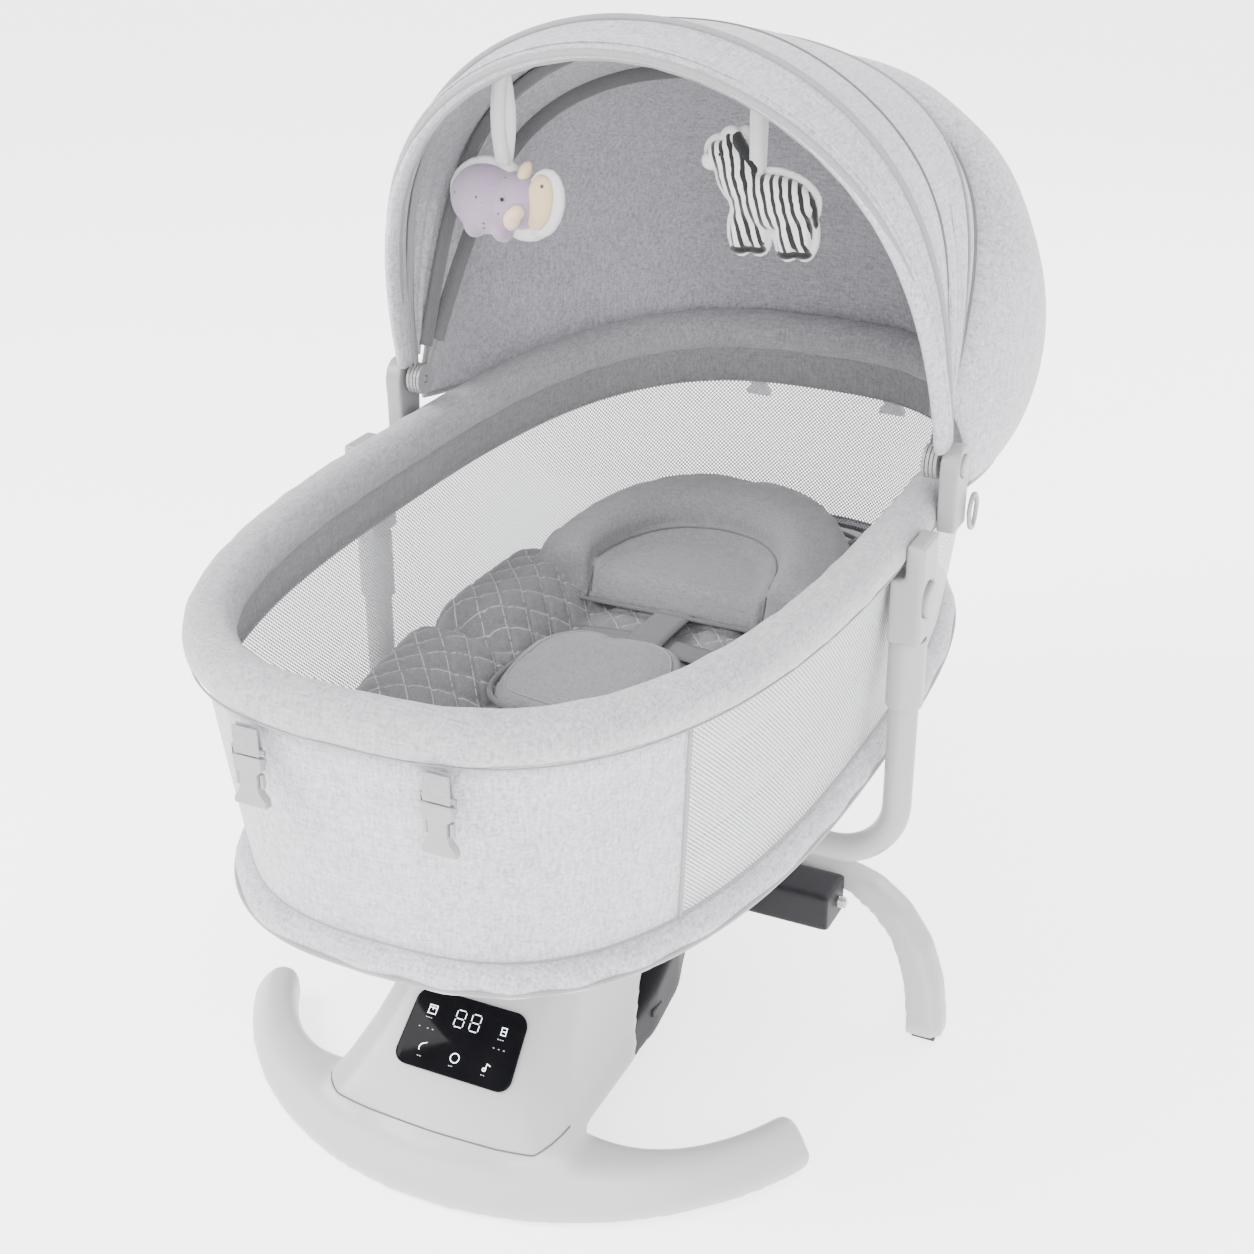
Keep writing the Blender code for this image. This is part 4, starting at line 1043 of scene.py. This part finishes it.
# ---- web buckles ----
def buckle(name, node):
    """Side-release buckle hanging on a webbing loop."""
    low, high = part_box(node)
    outward = 1 if low.y > 0 else -1
    x = (low.x + high.x) / 2
    surface = low.y if outward > 0 else high.y
    top = high.z - 0.015
    outline = [(0.0100, 0.0), (0.0105, -0.003), (0.0100, -0.0085), (0.0066, -0.0110), (0.0068, -0.0150),
               (0.0066, -0.0205), (0.0084, -0.0255), (0.0118, -0.0300), (0.0122, -0.0335), (0.0112, -0.0345)]
    points = outline + [(-a, b) for a, b in reversed(outline)]
    shell = []
    for depth, shrink in ((0.0004, 0.94), (0.0014, 1.0), (0.0052, 1.0), (0.0064, 0.93)):
        shell.append([Vector((x + a * shrink, surface + outward * depth, top - 0.017 + (b + 0.017) * shrink))
                      for a, b in points])
    flat = [p for ring in shell for p in ring]
    count = len(points)
    faces = [tuple(range(count)), tuple(3 * count + s for s in range(count))]
    for r in range(3):
        for s in range(count):
            t = (s + 1) % count
            faces.append((r * count + s, r * count + t, (r + 1) * count + t, (r + 1) * count + s))
    body = keep_sharp(tidy_normals(mesh_object(name, flat, faces, GREY)), 38)
    ride(body, "carrier")
    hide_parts(node)
    slide_y = surface + outward * 0.0030
    corners = ((-0.0118, 0.0046), (0.0118, 0.0046), (0.0118, -0.0015), (-0.0118, -0.0015))
    loop = [Vector((x + across, slide_y, top + above)) for across, above in corners]
    ride(sweep(name + "_slide", loop, round_section(0.0013, 8), GREY, closed=True), "carrier")
    for number, depth in enumerate((0.0012, 0.0052)):
        strap = rounded_box(name + "_webbing_" + str(number),
                            (x - 0.0092, surface + outward * depth - 0.0006, top + 0.0015),
                            (x + 0.0092, surface + outward * depth + 0.0006, 0.3905), CLIP_WEBBING, 0.0004, 2)
        ride(strap, "carrier")
    for side in (-1, 1):
        prong = rounded_box(name + "_prong_" + str(side + 1),
                            (x + side * 0.0088 - 0.0012, surface + outward * 0.0034 - 0.0016, top - 0.0210),
                            (x + side * 0.0088 + 0.0012, surface + outward * 0.0034 + 0.0016, top - 0.0110),
                            GREY, 0.0005, 2)
        ride(prong, "carrier")


# ---- swing base ----
FOOT_RADIUS = 0.262         # outer radius of the crescent foot, about (0, FOOT_CENTRE_Y)
FOOT_CENTRE_Y = -0.100
FOOT_SPAN = 65              # degrees to each side


def foot_ring(turn, floor):
    """Section of the crescent foot: sloped outer wall, crowned top, inner edge wider at the tower."""
    near = exp(-(abs(turn) / 25) ** 2.2)
    outer, inner = FOOT_RADIUS, FOOT_RADIUS - 0.037 - 0.080 * near
    top = 0.034 + 0.012 * exp(-(abs(turn) / 34) ** 2.4)
    section = [(outer, floor), (outer, floor + 0.006), (outer - 0.004, 0.018), (outer - 0.011, top - 0.007),
               (outer - 0.018, top - 0.001), (outer - 0.024, top), (inner + 0.010, top),
               (inner + 0.004, top - 0.003), (inner, top - 0.010), (inner, floor)]
    a = radians(turn)
    return [Vector((r * sin(a), FOOT_CENTRE_Y - r * cos(a), z)) for r, z in section]


def base_shell():
    """White mouldings of the front: crescent foot and tower, flowing into each other."""
    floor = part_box("front_foot")[0].z
    rings = [foot_ring(-FOOT_SPAN + FOOT_SPAN * i / 40, floor) for i in range(81)]
    sides = len(rings[0])
    faces = []
    for r in range(80):
        for k in range(sides):
            m = (k + 1) % sides
            faces.append((r * sides + k, r * sides + m, (r + 1) * sides + m, (r + 1) * sides + k))
    faces += [tuple(range(sides)), tuple(80 * sides + k for k in range(sides))]
    foot = tidy_normals(mesh_object("foot", [p for ring in rings for p in ring], faces))
    shell = join_meshes("base_shell", cad_copy("tower_cover") + [foot], WHITE)
    voxel_solid(shell, 0.0030, 22, 0.5)
    move_vertices(shell, flat_below(floor, 0.003))
    subdivide(shell)
    ride(shell, "base")
    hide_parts("front_foot", "tower_cover")
    return shell


def cast(tree, start, direction, above):
    """Where a ray meets the surface, just above it, or None."""
    hit = tree.ray_cast(start, direction)
    return hit[0] + hit[1] * above if hit[0] else None


def base_seam(shell):
    """Joint line round the foot of the tower cover: down both sides, and straight across the front."""
    tree = surface_of(shell)
    outline = [(-0.074, 0.104), (-0.082, 0.088), (-0.094, 0.064), (-0.099, 0.051), (-0.050, 0.0480),
               (0.000, 0.0475), (0.050, 0.0480), (0.078, 0.050), (0.086, 0.054), (0.094, 0.060),
               (0.100, 0.063), (0.106, 0.064)]
    path = []
    for (x0, z0), (x1, z1) in zip(outline[:-1], outline[1:]):
        for i in range(10):
            x, z = x0 + (x1 - x0) * i / 10, z0 + (z1 - z0) * i / 10
            point = cast(tree, Vector((x, -0.60, z)), Vector((0, 1, 0)), 0.0002)
            if point and (not path or (point - path[-1]).length < 0.03):
                path.append(point)
    ride(sweep("cover_seam", path, round_section(0.0006, 6), SEAM), "base")


def panel_axes():
    """Centre, across, up the slope and outward directions of the touch panel."""
    slope = radians(42.2)
    low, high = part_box("control_panel")
    centre = (low + high) / 2
    along = Vector((0, cos(slope), sin(slope)))
    out = Vector((0, -sin(slope), cos(slope)))
    return centre, Vector((1, 0, 0)), along, out


def on_panel(x, y, above):
    """Point over the panel's face, which is narrower towards its top."""
    centre, across, along, out = panel_axes()
    return centre + across * (x * (1 - 1.2 * y)) + along * y + out * above


def panel():
    """Touch panel glass with its printed symbols."""
    outline = []
    width, height, radius = 0.090, 0.056, 0.010
    for sx, sy, quarter in ((1, 1, 0), (-1, 1, 1), (-1, -1, 2), (1, -1, 3)):
        for i in range(9):
            a = pi / 2 * (quarter + i / 8)
            corner_x = sx * (width / 2 - radius)
            corner_y = sy * (height / 2 - radius)
            outline.append((corner_x + radius * cos(a), corner_y + radius * sin(a)))
    count = len(outline)
    points, faces = [], []
    for above, shrink in ((-0.0010, 1.0), (0.0004, 1.0), (0.0009, 0.985), (0.0010, 0.97)):
        points += [on_panel(a * shrink, b * shrink, above) for a, b in outline]
    for r in range(3):
        for s in range(count):
            t = (s + 1) % count
            faces.append((r * count + s, r * count + t, (r + 1) * count + t, (r + 1) * count + s))
    faces += [tuple(range(count)), tuple(3 * count + s for s in range(count))]
    glass = keep_sharp(tidy_normals(mesh_object("touch_panel", points, faces, GLASS)), 40)
    ride(glass, "base")
    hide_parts("control_panel")
    strokes(symbol_strokes(), "panel_symbols", 0.00055, GLOW)
    strokes(caption_strokes(), "panel_captions", 0.00035, GLOW_DIM)


def strokes(lines, name, width, material):
    """Flat printed lines on the panel."""
    points, faces = [], []
    for (x0, y0), (x1, y1) in lines:
        along = Vector((x1 - x0, y1 - y0)).normalized() * (width / 2)
        across = Vector((-along.y, along.x))
        corners = [(x0 - along.x, y0 - along.y), (x1 + along.x, y1 + along.y)]
        start = len(points)
        for x, y in corners:
            points.append(on_panel(x + across.x, y + across.y, 0.00112))
            points.append(on_panel(x - across.x, y - across.y, 0.00112))
        faces.append((start, start + 1, start + 3, start + 2))
    piece = mesh_object(name, points, faces, material, smooth=False)
    solid = piece.modifiers.new("thickness", "SOLIDIFY")
    solid.thickness = 0.00006
    ride(piece, "base")


def arc(cx, cy, radius, first, last, steps=10):
    """Short lines along an arc, between two angles in degrees."""
    turns = [radians(first + (last - first) * i / steps) for i in range(steps + 1)]
    path = [(cx + radius * cos(a), cy + radius * sin(a)) for a in turns]
    return list(zip(path[:-1], path[1:]))


def symbol_strokes():
    """Two seven-segment digits and four plain symbols: timer, level, power ring, note."""
    lines = []
    for cx in (-0.0062, 0.0062):
        w, h = 0.0036, 0.0060
        y0 = 0.0125
        left, right = cx - w, cx + w
        for y in (y0 - h, y0, y0 + h):
            lines.append(((left + 0.0012, y), (right - 0.0012, y)))
        for x in (left, right):
            lines.append(((x, y0 + 0.0011), (x, y0 + h - 0.0011)))
            lines.append(((x, y0 - 0.0011), (x, y0 - h + 0.0011)))
    lines += arc(0.0, -0.0145, 0.0033, 0, 360, 18)
    box_x, box_y, s = -0.0290, 0.0135, 0.0030
    lines += [((box_x - s, box_y - s), (box_x + s, box_y - s)),
              ((box_x - s, box_y + s), (box_x - s, box_y - s)),
              ((box_x + s, box_y - s), (box_x + s, box_y + s)),
              ((box_x - s, box_y + s), (box_x + s, box_y + s)),
              ((box_x, box_y), (box_x, box_y + 0.0018)),
              ((box_x - s, box_y + 0.0012), (box_x + s, box_y + 0.0012))]
    lines += arc(-0.0250, -0.0140, 0.0034, 100, 210, 8)
    lines += [((-0.0256, -0.0107), (-0.0240, -0.0098))]
    note_x, note_y = 0.0250, -0.0145
    lines += arc(note_x - 0.0016, note_y - 0.0016, 0.0011, 0, 360, 10)
    lines += [((note_x - 0.0005, note_y - 0.0016), (note_x - 0.0005, note_y + 0.0026)),
              ((note_x - 0.0005, note_y + 0.0026), (note_x + 0.0022, note_y + 0.0018))]
    for k in range(3):
        lines.append(((0.0275, 0.0100 + 0.0026 * k), (0.0312, 0.0100 + 0.0026 * k)))
    lines += [((0.0275, 0.0100), (0.0275, 0.0152)), ((0.0312, 0.0100), (0.0312, 0.0152))]
    return lines


def caption_strokes():
    """Short rows of dashes where small captions would be."""
    lines = []
    for x, y, width in ((-0.0290, 0.0075, 0.0060), (0.0294, 0.0066, 0.0060), (-0.0250, -0.0200, 0.0050),
                        (0.0, -0.0205, 0.0050), (0.0250, -0.0200, 0.0056), (-0.0330, 0.0000, 0.0030),
                        (-0.0270, 0.0000, 0.0018), (-0.0230, 0.0000, 0.0018), (0.0260, 0.0000, 0.0018),
                        (0.0300, 0.0000, 0.0018), (0.0345, 0.0000, 0.0026)):
        dash = 0.0011
        count = max(1, int(width / (dash * 1.7)))
        for k in range(count):
            start = x - width / 2 + k * dash * 1.7
            lines.append(((start, y), (start + dash * 0.6, y)))
    return lines


def base_underbody():
    """Black underbody with dark patches as painted shade in its vents, the arched rear leg, and the leg
    buttons' springs.
    """
    stations = ((-0.262, 0.014, 0.040, 0.064), (-0.205, 0.018, 0.045, 0.078), (-0.150, 0.030, 0.070, 0.087),
                (-0.110, 0.041, 0.090, 0.087), (-0.075, 0.066, 0.106, 0.080), (-0.038, 0.076, 0.109, 0.074))
    points, faces = [], []
    for y, low, top, half in stations:
        corners = ((-half, low), (half, low), (half, top), (-half, top))
        points += [Vector((x, y, z)) for x, z in corners]
    for r in range(len(stations) - 1):
        for k in range(4):
            m = (k + 1) % 4
            faces.append((r * 4 + k, r * 4 + m, r * 4 + 4 + m, r * 4 + 4 + k))
    faces += [(3, 2, 1, 0), tuple(len(points) - 4 + k for k in range(4))]
    spine = tidy_normals(mesh_object("spine", points, faces))
    housing = join_meshes("underbody", cad_copy("lower_housing") + [spine], BLACK)
    voxel_solid(housing, 0.0025, 7)
    subdivide(housing)
    ride(housing, "base")
    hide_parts("lower_housing")
    leg = softened("rear_leg_moulding", ["rear_leg"], WHITE, 0.0028, 14)
    move_vertices(leg, flat_below(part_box("rear_leg")[0].z, 0.004))
    subdivide(leg)
    ride(leg, "base")
    for sign, name in ((-1, "left"), (1, "right")):
        # Each vent is a dark rubber patch on the housing: painted shade in place of the vent's recess.
        for number, (y, z, x) in enumerate(((-0.186, 0.034, 0.0805), (-0.150, 0.051, 0.0868))):
            slot = rounded_box("vent_shade_patch_" + name + "_" + str(number),
                               (sign * x - 0.0012, y - 0.0075, z - 0.0034),
                               (sign * x + 0.0012, y + 0.0075, z + 0.0034), RUBBER, 0.0011, 2)
            ride(slot, "base")
        coil = []
        for i in range(61):
            a = 2 * pi * 5 * i / 60
            x = sign * (0.1806 + 0.0055 * i / 60)
            coil.append(Vector((x, -0.014 + 0.0042 * cos(a), 0.092 + 0.0042 * sin(a))))
        spring = sweep("button_spring_" + name, coil, round_section(0.0005, 6), STEEL)
        ride(spring, "base")


# ---- canopy ----
CLOTH_END = 0.055           # radians along a bow from its hub to the cloth's edge
CLOTH_SPAN = pi - 2 * CLOTH_END
ROOF_SEAM_SHARE = 0.42      # where the roof's seam lies between the second and third bows


def canopy_grid(first, last, rows, columns, rule):
    """Points of the cloth between two bows, each given as (shape, lift), moved by the rule."""
    grid = []
    for j in range(rows + 1):
        share = j / rows
        row = []
        for i in range(columns + 1):
            turn = CLOTH_END + (pi - CLOTH_END - CLOTH_END) * i / columns
            lift = first[1] + (last[1] - first[1]) * share
            point = bow_point(turn, between(first[0], last[0], share), lift)
            row.append(rule(point, turn, share))
        grid.append(row)
    return grid


def away_from_hub(point):
    """Outward direction of the canopy at a point."""
    out = Vector((point.x * 0.6, point.y - HUB_Y, point.z - HUB_Z))
    return out.normalized() if out.length > 1e-6 else Vector((0, 0, 1))


def canopy():
    """Visor, roof and shoulder cloth between the bows, then the back and the trims."""
    front, second, third, rear = (BOWS[name] for name in ("front", "second", "third", "rear"))

    def visor_rule(point, turn, share):
        sag = 4 * share * (1 - share)
        pleat = 0.0030 * sin(2 * pi * share * 2.0) * (0.35 + 0.65 * abs(cos(turn)))
        return point - away_from_hub(point) * (0.0045 * sag * sin(turn) + pleat * 0.5)

    visor_grid = canopy_grid((front, 0.0105), (second, 0.0085), 16, 110, visor_rule)
    visor = grid_sheet("visor_cloth", visor_grid, LINEN)
    ride(visor, "front_bow")
    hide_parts("canopy_visor")

    def roof_rule(point, turn, share):
        sag = 4 * share * (1 - share)
        near_hub = exp(-((abs(cos(turn)) - 1.0) / 0.16) ** 2)
        folds = 0.0022 * sin(2 * pi * share * 3.0 + 0.6) * near_hub
        broad = 0.0016 * sin(7 * turn + 3 * share) * sin(pi * share)
        return point - away_from_hub(point) * (0.0060 * sag * sin(turn) + folds + broad)

    roof_grid = canopy_grid((second, 0.0065), (third, 0.0065), 26, 120, roof_rule)
    roof = grid_sheet("roof_cloth", roof_grid, LINEN)
    ride(roof, "second_bow")
    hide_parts("canopy_roof")
    seam_shape = between(second, third, ROOF_SEAM_SHARE)
    turns = [CLOTH_END + CLOTH_SPAN * i / 120 for i in range(121)]
    seam = [roof_rule(bow_point(turn, seam_shape, 0.0073), turn, ROOF_SEAM_SHARE) for turn in turns]
    ride(sweep("roof_seam", seam, round_section(0.0012, 6), TAPE), "second_bow")

    def shoulder_rule(point, turn, share):
        sag = 4 * share * (1 - share)
        return point - away_from_hub(point) * (0.0035 * sag * sin(turn))

    shoulder_grid = canopy_grid((third, 0.0060), (rear, 0.0050), 12, 110, shoulder_rule)
    shoulder = grid_sheet("shoulder_cloth", shoulder_grid, LINEN)
    ride(shoulder, "third_bow")
    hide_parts("canopy_shoulder")
    canopy_back(rear)
    canopy_trim(front, second, third, rear)


def back_point(turn, share, rear):
    """Point of the back panel, from the rear bow at share 0 to the hem round the rim at 1."""
    top = bow_point(turn, (rear[0] + 0.3,) + rear[1:], 0.0055)
    angle = 0.09 + (pi - 0.18) * (turn - CLOTH_END) / CLOTH_SPAN
    x, y = superellipse(angle, RIM_B + 0.0262, RIM_A + 0.0262)
    dip = max(0.0, sin(turn)) ** 0.5
    hem = Vector((x, y, 0.430 + (0.3755 - 0.430) * dip))
    bulge = (4 * share * (1 - share)) ** 0.6
    crease = 0.0018 * sin(9 * turn + 2.0) * sin(pi * share)
    crease += 0.0012 * sin(17 * turn) * share * (1 - share) * 4
    sideways = 0.044 * cos(turn) * (1 - exp(-(sin(turn) / 0.25) ** 2))
    out = Vector((sideways, 0.010 * sin(turn), 0.080 * sin(turn)))
    flat = top.lerp(hem, share) + out * bulge
    return flat + away_from_hub(flat) * crease


def canopy_back(rear):
    """Back panel from the rear bow down to the rim, with its hem."""
    rows, columns = 30, 120
    grid = []
    for j in range(rows + 1):
        share = (1 - cos(pi * j / rows)) / 2
        row = []
        for i in range(columns + 1):
            turn = CLOTH_END + CLOTH_SPAN * i / columns
            row.append(back_point(turn, share, rear))
        grid.append(row)
    back = grid_sheet("back_cloth", grid, LINEN)
    ride(back, "carrier")
    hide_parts("canopy_back")
    hem = sweep("back_hem", grid[-1], round_section(0.0022, 8), PIPING)
    ride(hem, "carrier")


def canopy_trim(front, second, third, rear):
    """Sleeve, pipings and tapes along the bows, and pleats beside the hubs."""
    def along(shape, lift, first=0.045, count=121):
        return [bow_point(first + (pi - 2 * first) * i / (count - 1), shape, lift) for i in range(count)]

    def flat_section(width, depth, sides=14):
        return [(depth * cos(2 * pi * s / sides), width * sin(2 * pi * s / sides)) for s in range(sides)]

    def pleat_section(step):
        return round_section(0.0042 * (1 - step / 25) ** 0.8, 10)

    sleeve_shape = (front[0] + 1.2,) + front[1:]
    piping_shape = (front[0] - 1.4,) + front[1:]
    trims = [
        ("front_bow_sleeve", "front_bow", sleeve_shape, 0.0035, flat_section(0.0125, 0.0062), LINEN),
        ("front_piping", "front_bow", piping_shape, 0.0060, round_section(0.0026, 8), PIPING),
        ("second_bow_piping", "second_bow", second, 0.0105, round_section(0.0026, 8), PIPING),
        ("third_bow_seam", "third_bow", third, 0.0075, round_section(0.0013, 6), PIPING),
        ("third_bow_tape", "third_bow", third, 0.0005, flat_section(0.0075, 0.0045), TAPE),
        ("rear_bow_tape", "rear_bow", rear, 0.0005, flat_section(0.0075, 0.0042), TAPE),
    ]
    for name, body, shape, lift, section, material in trims:
        piece = sweep(name, along(shape, lift), section, material)
        ride(piece, body)
    for end, side in (("left", -1), ("right", 1)):
        for number, lean in enumerate((88.0, 95.0, 102.0)):
            path = []
            for i in range(25):
                turn = 0.035 + 0.55 * i / 24
                point = bow_point(turn, (lean,) + between(second, third, (lean - 82) / 30)[1:], 0.0062)
                path.append(Vector((side * point.x, point.y, point.z)))
            pleat = sweep("pleat_" + end + "_" + str(number), path, pleat_section, LINEN)
            ride(pleat, "second_bow")


def hubs():
    """Canopy hub, hub knob and D-ring at each side."""
    for name, sign in (("left", -1), ("right", 1)):
        hub = softened("hub_" + name, ["canopy_hub_" + name], GREY, 0.0014, 6)
        ride(hub, "carrier")
        low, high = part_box("hub_button_" + name)
        start = Vector((low.x if sign > 0 else high.x, HUB_Y, HUB_Z))
        dome = [(0.0, 0.0), (0.0079, 0.0), (0.0080, 0.0034), (0.0072, 0.0044),
                (0.0040, 0.0047), (0.0, 0.0048)]
        button = turned_x("hub_knob_" + name, dome, start, sign, PALE_GREY)
        ride(button, "hub_button_" + name)
        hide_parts("hub_button_" + name)
        low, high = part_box("d_ring_" + name)
        centre = (low + high) / 2
        ring = []
        for i in range(48):
            a = 2 * pi * i / 48
            narrower = 1.0 if sin(a) > 0 else 0.88
            y = centre.y + 0.0098 * cos(a) * narrower
            ring.append(Vector((centre.x, y, centre.z + 0.0130 * sin(a))))
        loop = sweep("d_ring_loop_" + name, ring, round_section(0.0018, 12), PALE_GREY, closed=True)
        ride(loop, "d_ring_" + name)
        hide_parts("d_ring_" + name)


# ---- toys ----
def plush(name, eggs, material, voxel=0.0022, smooth=3):
    """One soft shape fused from egg shapes."""
    shape = join_meshes(name, [ellipsoid(*egg) for egg in eggs], material)
    return voxel_solid(shape, voxel, smooth)


def ribbon_loop(name, top, bottom, body, spread=0.006):
    """Both sides of the ribbon loop that a toy hangs from."""
    for number, side in enumerate((-1, 1)):
        rows = []
        for offset in (-0.5, 0.0, 0.5):
            row = []
            for i in range(13):
                share = i / 12
                x = top.x + (bottom.x - top.x) * share + side * spread * sin(pi * share)
                y = top.y + (bottom.y - top.y) * share + side * 0.0015
                z = top.z + (bottom.z - top.z) * share
                row.append(Vector((x + offset * 0.010, y + offset * 0.003, z)))
            rows.append(row)
        ribbon = grid_sheet(name + "_" + str(number), rows, RIBBON, 0.0006)
        ride(ribbon, body)


def elephant():
    """Stuffed elephant: body with snout and feet, ear, trunk, tuft and eye."""
    low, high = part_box("toy_elephant")
    x, y = (low.x + high.x) / 2, (low.y + high.y) / 2
    z = low.z + 0.030
    body = plush("elephant_body", [
        ((x - 0.014, y, z), (0.032, 0.019, 0.027)),
        ((x + 0.014, y - 0.003, z + 0.002), (0.022, 0.017, 0.022)),
        ((x - 0.024, y - 0.004, z - 0.018), (0.009, 0.011, 0.012)),
        ((x + 0.000, y - 0.004, z - 0.020), (0.009, 0.011, 0.011)),
    ], LILAC)
    ride(body, "elephant")
    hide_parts("toy_elephant")
    extras = [
        ("elephant_ear", [((x + 0.034, y - 0.010, z + 0.004), (0.012, 0.006, 0.022), 12)], CREAM),
        ("elephant_ear_edge", [((x + 0.036, y - 0.006, z + 0.003), (0.017, 0.006, 0.027), 12)], WHITE_PLUSH),
        ("elephant_edge", [((x - 0.012, y + 0.004, z + 0.002), (0.038, 0.010, 0.030)),
                           ((x + 0.016, y + 0.002, z - 0.018), (0.020, 0.008, 0.012))], WHITE_PLUSH),
        ("elephant_trunk", [((x + 0.016, y - 0.020, z - 0.008), (0.007, 0.005, 0.009), 20),
                            ((x + 0.021, y - 0.021, z - 0.002), (0.006, 0.005, 0.006))], CREAM),
        ("elephant_tuft", [((x + 0.020, y - 0.006, z + 0.024), (0.005, 0.006, 0.010), 25)], CREAM),
        ("elephant_eye", [((x + 0.008, y - 0.0205, z + 0.006), (0.0020, 0.0014, 0.0024))], BLACK_PLUSH),
    ]
    for name, eggs, material in extras:
        piece = plush(name, eggs, material, 0.0012 if "eye" in name else 0.0020, 2)
        ride(piece, "elephant")
    ribbon_loop("elephant_ribbon", Vector((x, y, high.z)), Vector((x, y, z + 0.026)), "elephant", 0.004)


def zebra():
    """Stuffed zebra: striped coat with a white edge, mane, hooves, muzzle, eye and tail."""
    low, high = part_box("toy_zebra")
    x, y = (low.x + high.x) / 2, (low.y + high.y) / 2
    z = low.z + 0.045
    body = [
        ((x + 0.012, y, z - 0.003), (0.033, 0.011, 0.020)),
        ((x - 0.015, y, z + 0.012), (0.015, 0.010, 0.021), -28),
        ((x - 0.025, y, z + 0.026), (0.015, 0.009, 0.0115), 18),
    ]
    places = ((-0.012, -0.002), (0.000, 0.003), (0.024, -0.002), (0.035, 0.003))
    legs = [((x + dx, y + dy, z - 0.025), (0.0074, 0.0066, 0.017)) for dx, dy in places]
    ears = [((x - 0.022, y - 0.003, z + 0.038), (0.0040, 0.003, 0.0060), 10),
            ((x - 0.014, y + 0.003, z + 0.038), (0.0040, 0.003, 0.0060), 20)]
    coat = plush("zebra_body", body + legs + ears, ZEBRA, 0.0018)
    ride(coat, "zebra")
    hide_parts("toy_zebra")
    edge = [((c[0], c[1] + 0.004, c[2]), (r[0] + 0.0048, 0.0045, r[2] + 0.0048), *turn)
            for c, r, *turn in body + legs + ears]
    mane = [((x - 0.004 - 0.013 * k / 5, y, z + 0.018 + 0.021 * k / 5), (0.0050, 0.0044, 0.0064), 25)
            for k in range(6)]
    hooves = [((x + dx, y + dy, z - 0.0395), (0.0076, 0.0068, 0.0036)) for dx, dy in places]
    extras = [
        ("zebra_edge", edge, WHITE_PLUSH),
        ("zebra_mane", mane, BLACK_PLUSH),
        ("zebra_hooves", hooves, BLACK_PLUSH),
        ("zebra_muzzle", [((x - 0.036, y, z + 0.022), (0.0075, 0.0078, 0.0070))], WHITE_PLUSH),
        ("zebra_eye", [((x - 0.026, y - 0.0088, z + 0.029), (0.0017, 0.0012, 0.0019))], BLACK_PLUSH),
        ("zebra_tail", [((x + 0.044, y, z - 0.008), (0.0028, 0.0028, 0.013), -10)], BLACK_PLUSH),
    ]
    for name, eggs, material in extras:
        piece = plush(name, eggs, material, 0.0011 if "eye" in name else 0.0018, 2)
        ride(piece, "zebra")
    ribbon_loop("zebra_ribbon", Vector((x, y, high.z)), Vector((x, y, z + 0.014)), "zebra", 0.001)


# ---- studio ----
def studio():
    """White floor, even surrounding light and three soft lamps."""
    scene = bpy.context.scene
    n = Nodes("studio_floor")
    where = n.add("ShaderNodeTexCoord").outputs["Object"]
    soft = n.noise(where, 3.0, 2.0)
    n.shader.inputs["Emission Color"].default_value = rgb(1.0, 1.0, 1.0)
    n.shader.inputs["Emission Strength"].default_value = 2.2
    floor_look = n.finish(n.blend(soft, rgb(0.90, 0.90, 0.91), rgb(0.93, 0.93, 0.93)), 0.6)
    size = 6.0
    corners = [(-size, -size, 0), (size, -size, 0), (size, size, 0), (-size, size, 0)]
    floor = mesh_object("studio_floor", corners, [(0, 1, 2, 3)], floor_look, smooth=False)
    world = bpy.data.worlds.new("studio")
    world.use_nodes = True
    background = world.node_tree.nodes["Background"]
    background.inputs["Color"].default_value = (0.97, 0.98, 1.0, 1.0)
    background.inputs["Strength"].default_value = 2.0
    scene.world = world
    lamps = (
        ("key", (-1.7, -1.4, 2.3), 120.0, 1.2),
        ("fill", (1.1, -1.8, 1.0), 46.0, 1.4),
        ("back", (0.6, 2.2, 2.0), 50.0, 1.4),
    )
    for name, place, power, spread in lamps:
        light = bpy.data.lights.new(name, "AREA")
        light.energy = power
        light.size = spread
        lamp = bpy.data.objects.new(name, light)
        lamp.location = place
        aim = Vector((0, 0, 0.35)) - lamp.location
        lamp.rotation_euler = aim.to_track_quat("-Z", "Y").to_euler()
        scene.collection.objects.link(lamp)


def camera():
    """Three-quarter view from the foot end, from above."""
    azimuth, elevation, distance = radians(25.25), radians(26.06), 1.537
    target = Vector((0.0, -0.019, 0.295))
    back = Vector((sin(azimuth) * cos(elevation), -cos(azimuth) * cos(elevation), sin(elevation)))
    data = bpy.data.cameras.new("camera")
    data.sensor_width = 36.0
    data.lens = 57.4
    data.clip_start = 0.01
    eye = bpy.data.objects.new("camera", data)
    eye.location = target + back * distance
    eye.rotation_euler = (-back).to_track_quat("-Z", "Y").to_euler()
    bpy.context.scene.collection.objects.link(eye)
    bpy.context.scene.camera = eye


def main():
    """Builds everything."""
    camera()
    studio()
    finish_cad_nodes()
    rim_cover()
    inner_band()
    basket_wall()
    bottom_cover()
    seat_pad()
    head_pillow()
    crotch_pad()
    harness()
    carrier()
    for end in ("foot", "head"):
        for side in ("left", "right"):
            buckle(end + "_clip_" + side, end + "_buckle_" + side)
    base_seam(base_shell())
    panel()
    base_underbody()
    canopy()
    hubs()
    elephant()
    zebra()


main()
